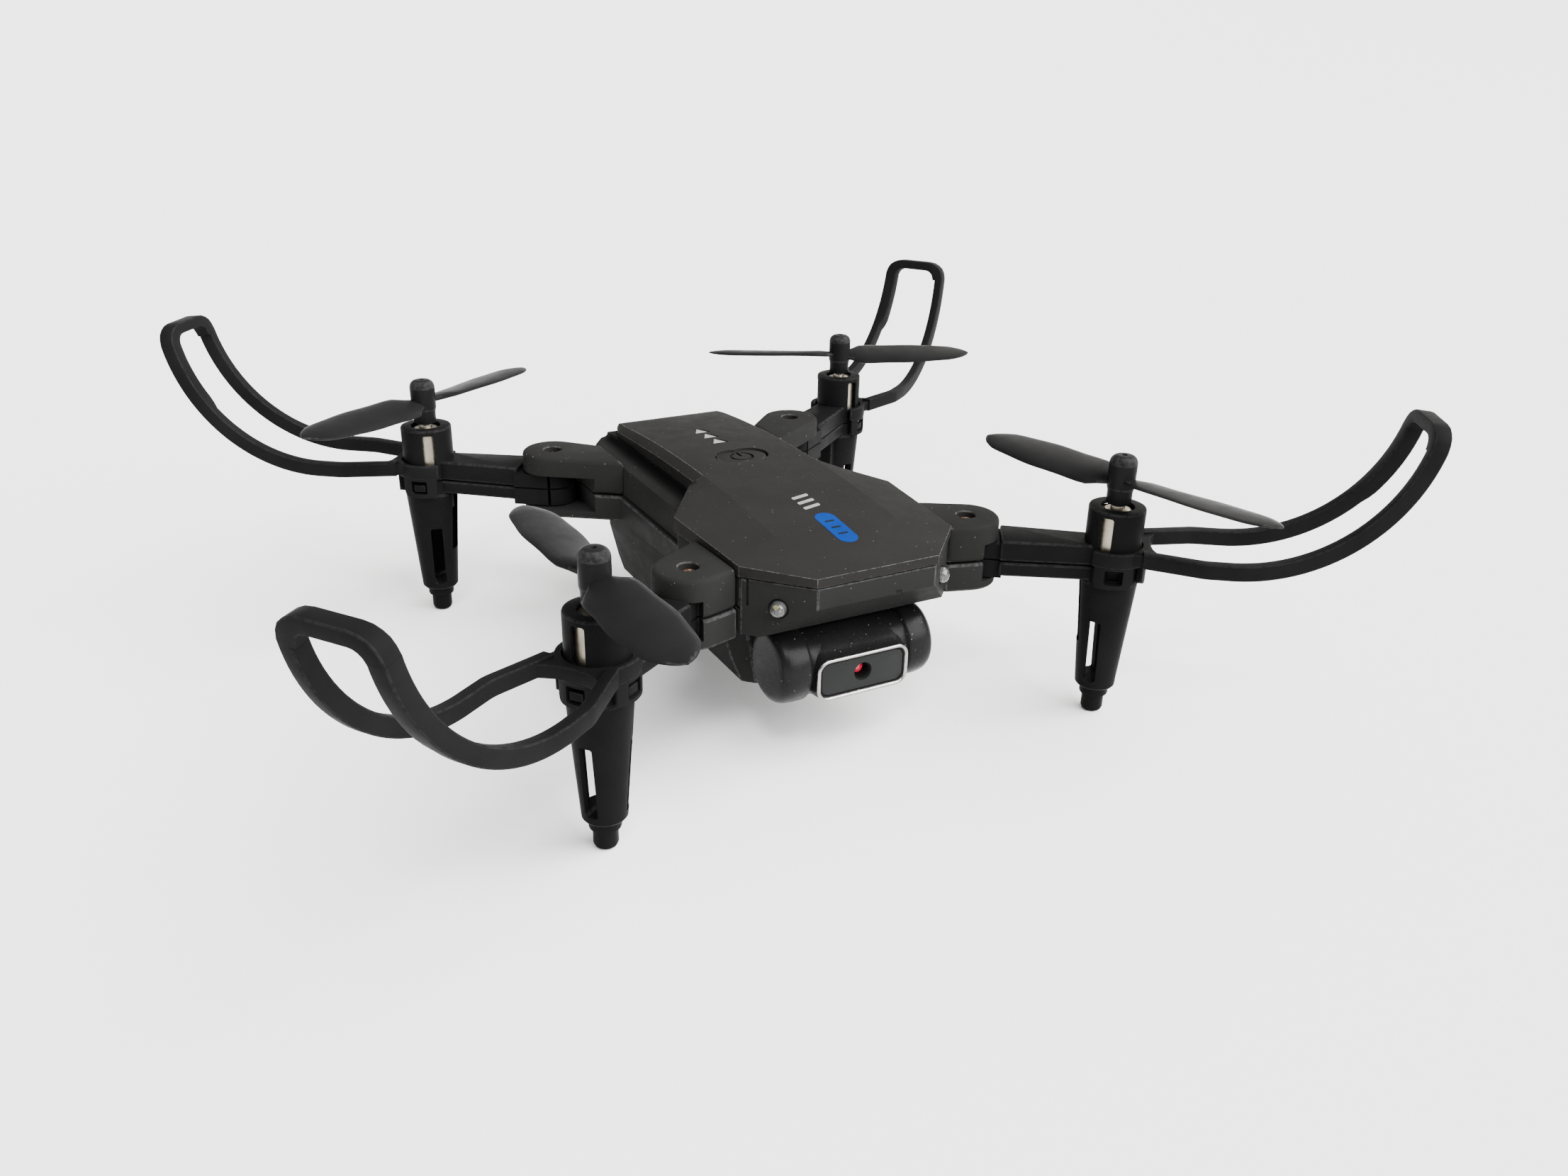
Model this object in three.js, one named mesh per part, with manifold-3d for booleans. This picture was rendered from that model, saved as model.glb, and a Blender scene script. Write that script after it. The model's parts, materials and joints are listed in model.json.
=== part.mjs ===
// Mini palm drone: a folding four-arm quadcopter with clip-on propeller guards.
// Millimetres, +Z up, nose towards -Y, origin on the ground midway between the four motors.
import * as THREE from 'three';
import { mergeVertices } from 'three/addons/utils/BufferGeometryUtils.js';
import Module from 'manifold-3d';

const wasm = await Module();
wasm.setup();

// ---- driving dimensions ----
const GAP = 0.3;                       // clearance left between touching pieces
const EAR = { x: 27.2, y: 33.0, radius: 6.0 };     // arm pivots, symmetric about both axes
const MOTOR = { x: 48.5, y: 48.3 };                // motor and leg axes
const EAR_PLATE = { low: 33.4, high: 37.2 };       // top plate of each ear
const EAR_FLOOR = { low: 24.8, high: 26.4 };       // bottom plate of each ear
const SEAM = 30.15;                    // height of the joint between upper and lower shells
const COVER_RIM = 36.0;                // lower edge of the cover over the hood
const DECK_RIM = 37.9;                 // lower edge of the cover over the tail
const BELLY = { floor: 10.0, halfWidth: 14.3, front: -28.6, rear: 31.0 };
const BATTERY = { halfWidth: 11.4, front: -21.0, rear: 37.0, low: 12.4, high: 27.4 };
const ARM_BEAM = { low: 27.4, high: 34.1, rootHalf: 4.2, endHalf: 3.1, start: 6.4 };
const TONGUE = { low: 26.7, high: 33.1, radius: 4.4, webHalf: 3.3 };
const HOUSING = { radius: 5.0, bore: 4.35, lip: 2.9, lipLow: 40.2, high: 40.7 };
const CAN = { radius: 4.05, low: 23.6, high: 39.9, shaft: 0.5, shaftTop: 47.0 };
const LEG = { topRadius: 5.2, footRadius: 3.6, foot: 5.4, finReach: 6.2, finLow: 14.4 };
const SLOT = { width: 2.3, angles: [0, 115, -115], housing: [33.1, 39.7], leg: [7.0, 19.7] };
const PROP = { radius: 30.5, chord: 9.8, height: 45.25, rise: 0.019, hubRadius: 2.45, hubLow: 41.3, hubHigh: 50.0 };
const GUARD = { centre: 32.9, height: 2.8, width: 2.0, kneeAt: 14.9, arcFrom: 19.6, arcRadius: 29.3,
  arcSweep: 84, rootHalf: 5.4, kneeHalf: 8.2, tipHalf: 6.7, rootAt: 4.6 };
const POD = { y: -37.0, z: 18.0, radius: 6.7, halfLength: 15.0, pinRadius: 1.0, pinHalf: 13.0 };
const BEZEL = { halfWidth: 8.9, low: 13.0, high: 20.7, front: -44.3, corner: 2.2, rim: 0.75 };
const BUTTON = { y: 2.4, lobe: 1.6, radius: 3.2, top: 41.15, low: 39.5 };
const LED = { x: 15.9, y: -42.6, z: 31.3, radius: 1.55 };
const CREASE = 11.5;                   // half width of the cover's flat centre panel

// ---- materials ----
const plastic = (color, roughness) => new THREE.MeshStandardMaterial({ color, roughness, metalness: 0 });
const metal = (color, roughness) => new THREE.MeshStandardMaterial({ color, roughness, metalness: 1 });
const material = {
  shell: plastic(0x3a3a39, 0.62), arm: plastic(0x1c1c1d, 0.5), guard: plastic(0x202021, 0.55),
  propeller: plastic(0x29292a, 0.5), pod: plastic(0x131313, 0.35), window: plastic(0x0c0c0d, 0.25),
  button: plastic(0x2b2b2b, 0.6), white: plastic(0xc9c9c6, 0.6), blue: plastic(0x1f6fd0, 0.4),
  board: plastic(0x12402a, 0.5), battery: plastic(0x2d2e30, 0.5), led: plastic(0xd8dde0, 0.1),
  trim: metal(0xb4afaa, 0.25), can: metal(0xa59b8c, 0.35), screw: metal(0xb8824f, 0.35),
  lens: plastic(0x7a1626, 0.08),
};

// ---- solid helpers ----
function solid(geometry) {
  geometry.deleteAttribute('normal');
  geometry.deleteAttribute('uv');
  const merged = mergeVertices(geometry, 1e-4);
  return new wasm.Manifold(new wasm.Mesh({
    numProp: 3,
    vertProperties: new Float32Array(merged.attributes.position.array),
    triVerts: new Uint32Array(merged.index.array),
  }));
}

function surface(body) {
  const mesh = body.getMesh();
  const geometry = new THREE.BufferGeometry();
  geometry.setAttribute('position', new THREE.BufferAttribute(new Float32Array(mesh.vertProperties), 3));
  geometry.setIndex(new THREE.BufferAttribute(new Uint32Array(mesh.triVerts), 1));
  geometry.computeVertexNormals();
  return geometry;
}

const root = new THREE.Group();

function add(name, body, look, parent = root) {
  const mesh = new THREE.Mesh(surface(body), look);
  mesh.name = name;
  parent.add(mesh);
}

const toShape = (points) => new THREE.Shape(points.map(([x, y]) => new THREE.Vector2(x, y)));

// an outline in plan, from one height to another
function prism(points, low, high) {
  const geometry = new THREE.ExtrudeGeometry(toShape(points), { depth: high - low, bevelEnabled: false });
  geometry.translate(0, 0, low);
  return solid(geometry);
}

// an outline of (y, z) points, drawn from one x to another
function prismAlongX(points, from, to) {
  const geometry = new THREE.ExtrudeGeometry(toShape(points), { depth: to - from, bevelEnabled: false });
  geometry.translate(0, 0, from);
  geometry.applyMatrix4(new THREE.Matrix4().makeBasis(
    new THREE.Vector3(0, 1, 0), new THREE.Vector3(0, 0, 1), new THREE.Vector3(1, 0, 0)));
  return solid(geometry);
}

// an outline of (x, z) points, drawn from one y to another
function prismAlongY(points, from, to) {
  const geometry = new THREE.ExtrudeGeometry(toShape(points), { depth: to - from, bevelEnabled: false });
  geometry.rotateX(Math.PI / 2);
  geometry.translate(0, to, 0);
  return solid(geometry);
}

const block = (x0, x1, y0, y1, z0, z1) => prism([[x0, y0], [x1, y0], [x1, y1], [x0, y1]], z0, z1);

// (radius, z) profile that starts and ends on the axis, turned about Z at (x, y)
function turned(profile, x = 0, y = 0, sides = 16) {
  const geometry = new THREE.LatheGeometry(profile.map(([r, z]) => new THREE.Vector2(r, z)), sides);
  geometry.rotateX(Math.PI / 2);
  geometry.translate(x, y, 0);
  return solid(geometry);
}

const column = (x, y, radius, low, high, sides = 16) =>
  turned([[0, low], [radius, low], [radius, high], [0, high]], x, y, sides);

// a closed skin over rings that all have the same number of points
function loft(rings) {
  const count = rings[0].length;
  const triangles = [];
  for (let i = 0; i + 1 < rings.length; i++) {
    for (let j = 0; j < count; j++) {
      const a = i * count + j;
      const b = i * count + (j + 1) % count;
      triangles.push(a, b, b + count, a, b + count, a + count);
    }
  }
  for (const [first, flip] of [[0, true], [(rings.length - 1) * count, false]]) {
    for (let j = 1; j + 1 < count; j++) {
      triangles.push(first, first + (flip ? j + 1 : j), first + (flip ? j : j + 1));
    }
  }
  const geometry = new THREE.BufferGeometry();
  geometry.setAttribute('position', new THREE.BufferAttribute(new Float32Array(rings.flat(2)), 3));
  geometry.setIndex(triangles);
  const body = solid(geometry);
  if (body.volume() > 0) return body;
  geometry.setIndex(triangles.reverse());
  return solid(geometry);
}

const rad = THREE.MathUtils.degToRad;
const mirrorX = (points) => points.map(([x, y]) => [-x, y]).reverse();
const bothSides = (half) => [...half, ...mirrorX(half)];
const unite = (bodies) => bodies.reduce((sum, body) => sum.add(body));
const cut = (body, tools) => tools.reduce((rest, tool) => rest.subtract(tool), body);

function arcPoints(x, y, radius, from, to, steps) {
  return Array.from({ length: steps + 1 }, (_, i) => {
    const angle = from + (to - from) * i / steps;
    return [x + radius * Math.cos(angle), y + radius * Math.sin(angle)];
  });
}

function roundedRectangle(halfWidth, halfHeight, radius) {
  const quarter = Math.PI / 2;
  return [[1, 1, 0], [-1, 1, 1], [-1, -1, 2], [1, -1, 3]].flatMap(([sx, sy, turn]) =>
    arcPoints(sx * (halfWidth - radius), sy * (halfHeight - radius), radius,
      turn * quarter, (turn + 1) * quarter, 3));
}

// ---- top cover: a thin skin with a crowned centre panel, hood facets and a bevelled tail ----
const crown = (y) => 41.4 - (y - 2) ** 2 / 640;

// each station: y, crease half width, crease height, edge half width, edge height, rim height
const coverStations = [
  [-47.4, 11.3, crown(-47.4), 11.5, crown(-47.4) - 0.05, COVER_RIM],
  [-37.8, CREASE, crown(-37.8), 20.6, 37.8, COVER_RIM],
  [-26.5, CREASE, crown(-26.5), 21.3, 38.25, COVER_RIM],
  [-15.4, CREASE, crown(-15.4), 21.9, 38.6, COVER_RIM],
  [-5.0, CREASE, crown(-5.0), 14.2, 40.0, COVER_RIM],
  [-4.9, CREASE, crown(-4.9), 13.1, 40.1, DECK_RIM],
  [10.0, CREASE, crown(10.0), 13.1, 40.0, DECK_RIM],
  [22.0, CREASE, crown(22.0), 13.1, 39.5, DECK_RIM],
  [33.0, CREASE, crown(33.0), 13.1, 38.9, DECK_RIM],
  [37.0, 11.3, 39.4, 11.7, 38.6, DECK_RIM],
  [38.6, 10.6, 38.2, 10.9, 38.1, DECK_RIM],
];

// the skin's outside, or with a wall thickness the hollow beneath it
function coverHull(wall) {
  return loft(coverStations.map(([y, creaseX, creaseZ, edgeX, edgeZ, rim], i) => {
    const last = coverStations.length - 1;
    const along = i === 0 ? y + wall : i === last ? y - wall : y;
    const low = wall > 0 ? rim - 3 : rim;
    const side = edgeX - wall;
    return [[side, low], [side, edgeZ - wall], [creaseX - wall, creaseZ - wall],
      [wall - creaseX, creaseZ - wall], [-side, edgeZ - wall], [-side, low]]
      .map(([x, z]) => [x, along, Math.max(z, low + (x * x < side * side ? 0.02 : 0))]);
  }));
}

const lobes = (grow, low, high) => unite([-1, 1].map((side) =>
  column(side * BUTTON.lobe, BUTTON.y, BUTTON.radius + grow, low, high, 18)));

// arrows point rearwards; y is the middle of the base of each
const ARROW = { bases: [11.4, 15.6, 19.7], halfBase: 1.5, length: 3.1 };
const arrowOutline = (y, grow) => [[-ARROW.halfBase - 1.5 * grow, y - grow], [ARROW.halfBase + 1.5 * grow, y - grow],
  [0, y + ARROW.length + 2.2 * grow]];
const BADGE = { y: -33.3, halfWidth: 1.85, halfLength: 5.5 };
const EMBLEM = { y: -22.7, halfWidth: 1.75, halfLength: 3.3 };
const badgeOutline = (grow) => roundedRectangle(BADGE.halfWidth + grow, BADGE.halfLength + grow,
  BADGE.halfWidth + grow - 0.01).map(([x, y]) => [x, y + BADGE.y]);
const emblemOutline = (grow) => roundedRectangle(EMBLEM.halfWidth + grow, EMBLEM.halfLength + grow, 0.5)
  .map(([x, y]) => [x, y + EMBLEM.y]);

const inlayDepth = 0.7;
const pocket = (outline, y) => prism(outline, crown(y) - inlayDepth, crown(y) + 2);
const inlay = (outline, y) => prism(outline, crown(y) - inlayDepth + GAP, crown(y) - 0.02);

add('top_cover', cut(coverHull(0), [
  coverHull(1.3),
  lobes(GAP, 38, 43),
  ...ARROW.bases.map((y) => pocket(arrowOutline(y, GAP), y + ARROW.length / 2)),
  pocket(badgeOutline(GAP), BADGE.y),
  pocket(emblemOutline(GAP), EMBLEM.y),
]), material.shell);

ARROW.bases.forEach((y, i) =>
  add(`arrow_mark_${i + 1}`, inlay(arrowOutline(y, 0), y + ARROW.length / 2), material.white));
add('badge_plate', inlay(badgeOutline(0), BADGE.y), material.blue);
add('emblem_plate', inlay(emblemOutline(0), EMBLEM.y), material.white);

const stem = column(0, BUTTON.y, 1.2, 36.6, BUTTON.low + 0.1, 16);
add('power_button', lobes(0, BUTTON.low, BUTTON.top).add(stem), material.button);

// ---- ears: tabs that hold the arm roots, given for the right side ----
function earOutline(y, radius, first, last) {
  const bearing = (point) => Math.atan2(point[1] - y, point[0] - EAR.x);
  const spread = (point) => Math.acos(radius / Math.hypot(point[0] - EAR.x, point[1] - y));
  const from = bearing(first) + spread(first);
  let to = bearing(last) - spread(last);
  if (to < from) to += 2 * Math.PI;
  return [first, ...arcPoints(EAR.x, y, radius, from, to, 8), last];
}

const frontEar = earOutline(-EAR.y, EAR.radius, [20.6, -37.3], [20.6, -22.2]);
const rearEar = earOutline(EAR.y, EAR.radius, [17.3, 19.0], [17.3, 31.5]);

// room for the arm root: round the pivot, and open on the side that the arm folds through
function earPocket(toTail, low, high) {
  const y = toTail ? EAR.y : -EAR.y;
  const fold = toTail ? -1 : 1;
  const radius = TONGUE.radius + GAP + 0.1;
  const wallEnd = rad(-90);
  const open = [
    [EAR.x, y + fold * radius * Math.sin(wallEnd)],
    [EAR.x + 1.2, y - fold * 14],
    [EAR.x + 16, y - fold * 14],
    [EAR.x + 16, y + fold * 17],
    [22.4, y + fold * 17],
    [22.4, y],
  ];
  return column(EAR.x, y, radius, low, high, 20).add(prism(open, low, high));
}

const oneOfEach = (make) => [1, -1].flatMap((side) => [false, true].map((toTail) => make(side, toTail)));
const mirrored = (body, side) => (side > 0 ? body : body.mirror([1, 0, 0]));
const earPockets = oneOfEach((side, toTail) =>
  mirrored(earPocket(toTail, EAR_FLOOR.high, EAR_PLATE.low), side));
const earBlocks = (low, high) => oneOfEach((side, toTail) =>
  mirrored(prism(toTail ? rearEar : frontEar, low, high), side));
const earHoles = (radius, low, high) => oneOfEach((side, toTail) =>
  column(side * EAR.x, (toTail ? 1 : -1) * EAR.y, radius, low, high));

// ---- shells ----
const hoodBase = bothSides([[20.2, -37.4], [21.4, -15.6], [17.5, -9.0], [17.5, -8.0]]);
const tailBase = bothSides([[17.5, -10.0], [17.5, 32.4], [12.2, 38.2]]);
const coverClear = bothSides([[11.9, -47.9], [21.0, -38.1], [22.3, -15.2], [14.6, -4.6], [13.5, -4.6]]);

const tailSection = [[17.5, SEAM], [17.5, 36.0], [13.5, 38.9], [-13.5, 38.9], [-17.5, 36.0], [-17.5, SEAM]];
const upperBand = unite([
  prism(hoodBase, SEAM + GAP / 2, COVER_RIM - GAP),
  prismAlongY(tailSection, -10, 39).intersect(prism(tailBase, SEAM + GAP / 2, 40)),
]);
const SOCKET = { halfWidth: 4.2, low: 32.6, high: 35.4, front: 31.5, rear: 38.0 };

add('upper_shell', cut(unite([upperBand, ...earBlocks(SEAM + GAP / 2, EAR_PLATE.high)]), [
  prism(coverClear, COVER_RIM - GAP, 42),
  block(-13.4, 13.4, -12, 42, DECK_RIM - GAP, 42),
  block(-12.2, 12.2, -40, 36.4, 29, 42),
  block(-18.6, 18.6, -40, -17.5, 29, 42),
  ...earPockets,
  ...earHoles(1.3, 32, 38),
  ...earHoles(1.75, 34.6, 38),
  block(-SOCKET.halfWidth - GAP, SOCKET.halfWidth + GAP, 35, 40, SOCKET.low - GAP, SOCKET.high + GAP),
]), material.shell);

// belly rings from the floor to the seam: half plan outlines, front to rear
const bellyRing = (z, width, front, rear, corner) =>
  bothSides([[width - corner, front], [width, front + corner], [width, rear - corner], [width - corner, rear]])
    .map(([x, y]) => [x, y, z]);
const belly = loft([
  bellyRing(BELLY.floor, BELLY.halfWidth, BELLY.front, BELLY.rear, 2.0),
  bellyRing(14.4, 16.0, BELLY.front - 0.3, 30.4, 2.8),
  bellyRing(22.0, 18.2, BELLY.front - 0.8, 29.6, 3.4),
  bellyRing(SEAM - GAP / 2, 18.4, BELLY.front - 1.2, 29.6, 3.4),
]);

const noseOutline = bothSides([[11.2, -47.2], [20.2, -37.8], [20.0, -30]]);
const noseUnderside = [[-50, 34.6], [-40.2, 25.7], [-29, 25.7], [-29, 20], [-50, 20]];
const nose = cut(prism(noseOutline, 25.0, COVER_RIM - GAP), [
  prismAlongX(noseUnderside, -30, 30),
  block(-25, 25, -37.6, -20, SEAM - GAP / 2, 40),
]);

const lowerBand = unite([
  prism(hoodBase, 25.7, SEAM - GAP / 2),
  prism(tailBase, 24.6, SEAM - GAP / 2),
]);

const LUG = { from: 10.1, to: 11.9 };
const lugProfile = [[POD.y - 2.6, POD.z - 2.4], [POD.y + 1.0, POD.z - 2.6], [-27.5, POD.z - 2.6],
  [-27.5, POD.z + 2.6], [POD.y + 1.0, POD.z + 2.6], [POD.y - 2.6, POD.z + 2.4]];
const lugs = [1, -1].map((side) => prismAlongX(lugProfile,
  Math.min(side * LUG.from, side * LUG.to), Math.max(side * LUG.from, side * LUG.to)));

function alongX(radius, from, to, sides = 12) {
  const geometry = new THREE.CylinderGeometry(radius, radius, to - from, sides);
  geometry.rotateZ(Math.PI / 2);
  geometry.translate((from + to) / 2, POD.y, POD.z);
  return solid(geometry);
}

// a cylinder whose axis is the outward normal of a nose chamfer face
const chamferNormal = new THREE.Vector3(9.6, -9.2, 0).normalize();
function chamferColumn(side, radius, from, to, sides = 12) {
  const geometry = new THREE.CylinderGeometry(radius, radius, to - from, sides);
  geometry.translate(0, (from + to) / 2, 0);
  const normal = new THREE.Vector3(side * chamferNormal.x, chamferNormal.y, 0);
  geometry.applyQuaternion(new THREE.Quaternion().setFromUnitVectors(new THREE.Vector3(0, 1, 0), normal));
  geometry.translate(side * LED.x, LED.y, LED.z);
  return solid(geometry);
}

add('lower_shell', cut(unite([belly, nose, lowerBand, ...earBlocks(EAR_FLOOR.low, SEAM - GAP / 2), ...lugs]), [
  block(-BATTERY.halfWidth - 0.4, BATTERY.halfWidth + 0.4, BATTERY.front - 1.5, 45,
    BATTERY.low - 0.4, SEAM + 1),
  block(-17.0, 17.0, -36.5, -22.5, 28.0, SEAM + 1),
  block(-18.0, 18.0, -44.5, -36.4, 31.0, 37).intersect(prism(bothSides([[10.4, -45.5], [18.2, -37.6], [18, -30]]),
    30, 37)),
  ...earPockets,
  ...earHoles(1.3, 20, 30),
  alongX(POD.pinRadius + GAP, -14, 14),
  chamferColumn(1, LED.radius + GAP, -4, 4),
  chamferColumn(-1, LED.radius + GAP, -4, 4),
]), material.shell);

add('led_right', chamferColumn(1, LED.radius, -1.6, 1.3), material.led);
add('led_left', chamferColumn(-1, LED.radius, -1.6, 1.3), material.led);

// ---- inside ----
add('flight_board', block(-11.2, 11.2, -30, 31, 31.0, 32.2), material.board);
add('button_switch', unite([block(-3, 3, BUTTON.y - 3, BUTTON.y + 3, 32.5, 35.0),
  column(0, BUTTON.y, 1.5, 34.8, 35.9, 16)]), material.board);
add('charge_socket', cut(block(-SOCKET.halfWidth, SOCKET.halfWidth, SOCKET.front, SOCKET.rear,
  SOCKET.low, SOCKET.high), [block(-3.6, 3.6, 34, 39, SOCKET.low + 0.5, SOCKET.high - 0.5)]), material.trim);
add('battery_pack', unite([
  block(-BATTERY.halfWidth, BATTERY.halfWidth, BATTERY.front, BATTERY.rear, BATTERY.low, BATTERY.high),
  block(-6, 6, BATTERY.rear - 1, BATTERY.rear + 1.6, 24.6, 26.4),
]), material.battery);

for (const [across, side] of [['right', 1], ['left', -1]]) {
  for (const [along, end] of [['front', -1], ['rear', 1]]) {
    add(`pivot_screw_${along}_${across}`, turned([[0, 25.2], [0.95, 25.2], [0.95, 34.9], [1.45, 34.9],
      [1.45, 36.0], [0, 36.0]], side * EAR.x, end * EAR.y, 10), material.screw);
  }
}

// ---- camera pod ----
const podProfile = [[0, -POD.halfLength], [4.6, -POD.halfLength], [6.0, -14.2], [POD.radius, -12.6],
  [POD.radius, 12.6], [6.0, 14.2], [4.6, POD.halfLength], [0, POD.halfLength]];
const barrelGeometry = new THREE.LatheGeometry(podProfile.map(([r, x]) => new THREE.Vector2(r, x)), 20);
barrelGeometry.rotateZ(-Math.PI / 2);
barrelGeometry.translate(0, POD.y, POD.z);

const bezelMid = (BEZEL.low + BEZEL.high) / 2;
const bezelHalf = (BEZEL.high - BEZEL.low) / 2;
function bezelPrism(shrink, corner, from, to) {
  const outline = roundedRectangle(BEZEL.halfWidth - shrink, bezelHalf - shrink, corner)
    .map(([x, z]) => [x, z + bezelMid]);
  return prismAlongY(outline, from, to);
}

const bezelRing = (shrink, y) => roundedRectangle(BEZEL.halfWidth - shrink, bezelHalf - shrink, BEZEL.corner)
  .map(([x, z]) => [x, y, z + bezelMid]);
const snout = loft([bezelRing(0.05, BEZEL.front + GAP + 0.3), bezelRing(0.15, BEZEL.front + 1.6),
  bezelRing(-0.3, BEZEL.front + 3.5), bezelRing(-0.6, POD.y - 1)]);

const sector = (from, to, reach) => [[POD.y, POD.z],
  ...arcPoints(POD.y, POD.z, reach, rad(from), rad(to), 8)];
const lugRoom = [1, -1].flatMap((side) => {
  const [from, to] = side > 0 ? [LUG.from - GAP, LUG.to + GAP] : [-LUG.to - GAP, -LUG.from + GAP];
  return [alongX(4.1, from, to), prismAlongX(sector(-105, 56, 9), from, to)];
});

add('camera_barrel', cut(solid(barrelGeometry).add(snout), [
  bezelPrism(BEZEL.rim + 0.1, 1.5, -46, -40.8),
  alongX(POD.pinRadius + GAP, -13.4, 13.4),
  ...lugRoom,
]), material.pod);
add('camera_bezel', bezelPrism(0, BEZEL.corner, BEZEL.front, BEZEL.front + 0.3)
  .subtract(bezelPrism(BEZEL.rim, 1.5, -46, -40)), material.trim);
const lensZ = 17.0;
function alongY(radius, from, to, sides = 14) {
  const geometry = new THREE.CylinderGeometry(radius, radius, to - from, sides);
  geometry.translate(0, (from + to) / 2, lensZ);
  return solid(geometry);
}
add('camera_window', bezelPrism(BEZEL.rim + 0.4, 1.3, -43.9, -43.2).subtract(alongY(1.7, -46, -40)),
  material.window);
add('camera_lens', alongY(1.4, -43.6, -42.6), material.lens);
add('camera_module', block(-3.2, 3.2, -42.3, -41.1, 14.2, 19.8), material.board);
add('camera_pin', alongX(POD.pinRadius, -POD.pinHalf, POD.pinHalf), material.screw);

// ---- arms, drawn along +X from the pivot with the fold pivot at the origin ----
const armLength = Math.hypot(MOTOR.x - EAR.x, MOTOR.y - EAR.y);
const armAngle = Math.atan2(MOTOR.y - EAR.y, MOTOR.x - EAR.x);
const beamOutline = [[ARM_BEAM.start, -ARM_BEAM.rootHalf], [armLength, -ARM_BEAM.endHalf],
  [armLength, ARM_BEAM.endHalf], [ARM_BEAM.start, ARM_BEAM.rootHalf]];
const webOutline = [[0, -TONGUE.webHalf], [ARM_BEAM.start + 0.6, -TONGUE.webHalf],
  [ARM_BEAM.start + 0.6, TONGUE.webHalf], [0, TONGUE.webHalf]];

const motorSlots = (low, high, reach) => SLOT.angles.map((angle) => {
  const half = SLOT.width / 2;
  const geometry = new THREE.BoxGeometry(reach, 2 * half, high - low);
  geometry.translate(reach / 2, 0, (low + high) / 2);
  geometry.rotateZ(rad(angle));
  geometry.translate(armLength, 0, 0);
  return solid(geometry);
});

function armHalf(low, high, extra) {
  const tongueLow = Math.max(low, TONGUE.low);
  const tongueHigh = Math.min(high, TONGUE.high);
  return unite([
    column(0, 0, TONGUE.radius, tongueLow, tongueHigh, 18),
    prism(webOutline, tongueLow, tongueHigh),
    prism(beamOutline, Math.max(low, ARM_BEAM.low), Math.min(high, ARM_BEAM.high)),
    ...extra,
  ]);
}

const armUpper = cut(armHalf(SEAM + GAP / 2, 50, [
  column(armLength, 0, HOUSING.radius, SEAM + GAP / 2, HOUSING.high),
]), [
  column(armLength, 0, HOUSING.bore, 25, HOUSING.lipLow),
  column(armLength, 0, HOUSING.lip, 40, 42),
  column(0, 0, 1.3, 20, 40, 10),
  ...motorSlots(...SLOT.housing, HOUSING.radius + 2),
]);

const legProfile = [[0, 0], [1.5, 0], [2.0, 0.7], [2.0, 3.6], [2.6, 3.6], [2.6, LEG.foot],
  [LEG.footRadius, LEG.foot + 0.6], [LEG.topRadius, 27.0], [HOUSING.radius, 27.4],
  [HOUSING.radius, SEAM - GAP / 2], [0, SEAM - GAP / 2]];
const finSection = [[LEG.finReach, 27.6], [LEG.finReach, LEG.finLow + 0.8], [LEG.finReach - 0.8, LEG.finLow],
  [3.2, LEG.finLow], [3.2, 27.6]].map(([reach, z]) => [armLength - reach, z]);

const armLower = cut(armHalf(0, SEAM - GAP / 2, [
  turned(legProfile, armLength, 0, 16),
  prismAlongY(finSection, -1.5, 1.5),
]), [
  column(armLength, 0, HOUSING.bore, CAN.low - GAP, 35),
  turned([[0, 7.6], [2.7, 7.6], [3.7, 20.6], [3.7, 24.0], [0, 24.0]], armLength, 0, 16),
  ...motorSlots(...SLOT.leg, LEG.topRadius + 0.6),
  column(0, 0, 1.3, 20, 40, 10),
]);

const can = turned([[0, CAN.low], [CAN.radius, CAN.low], [CAN.radius, CAN.high], [1.2, CAN.high],
  [1.2, 40.5], [CAN.shaft, 40.5], [CAN.shaft, CAN.shaftTop], [0, CAN.shaftTop]], armLength, 0, 12);

// ---- propeller guard: a bent loop of strap on an open ring that clips round the motor housing ----
// (along, across, over) on the strap's neutral surface: straight at first, then bent upwards
function onGuard(along, across, over) {
  const straight = GUARD.arcFrom - GUARD.rootAt;
  if (along <= straight) return [armLength + GUARD.rootAt + along, across, GUARD.centre + over];
  const angle = (along - straight) / GUARD.arcRadius;
  const radius = GUARD.arcRadius - over;
  return [armLength + GUARD.arcFrom + radius * Math.sin(angle), across,
    GUARD.centre + GUARD.arcRadius - radius * Math.cos(angle)];
}

function guardLoop() {
  const half = GUARD.width / 2;
  const straight = GUARD.arcFrom - GUARD.rootAt;
  const arc = GUARD.arcRadius * rad(GUARD.arcSweep);
  const tip = straight + arc;
  const steps = 7;
  const rail = [[0, GUARD.rootHalf], [GUARD.kneeAt - GUARD.rootAt, GUARD.kneeHalf], [straight, GUARD.kneeHalf]];
  for (let i = 1; i < steps; i++) {
    const share = i / steps;
    rail.push([straight + arc * share * 0.96,
      GUARD.kneeHalf + (GUARD.tipHalf - GUARD.kneeHalf) * share]);
  }
  // pairs of (along, across) on the outer and the inner edge of the strap
  const edges = rail.map(([along, across]) => [[along, across + half], [along, across - half]]);
  edges.push([[tip - 3.0, GUARD.tipHalf + half], [tip - 3.6, GUARD.tipHalf - half]]);
  edges.push([[tip - 0.8, GUARD.tipHalf - 0.1], [tip - 2.3, GUARD.tipHalf - 1.8]]);
  edges.push([[tip + 0.4, GUARD.tipHalf - 2.3], [tip - 1.7, GUARD.tipHalf - 3.5]]);
  const other = edges.map((pair) => pair.map(([along, across]) => [along, -across])).reverse();
  const rings = [...edges, ...other].map(([outer, inner]) => {
    const over = GUARD.height / 2;
    return [onGuard(...outer, over), onGuard(...inner, over), onGuard(...inner, -over), onGuard(...outer, -over)];
  });
  return loft(rings);
}

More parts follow.
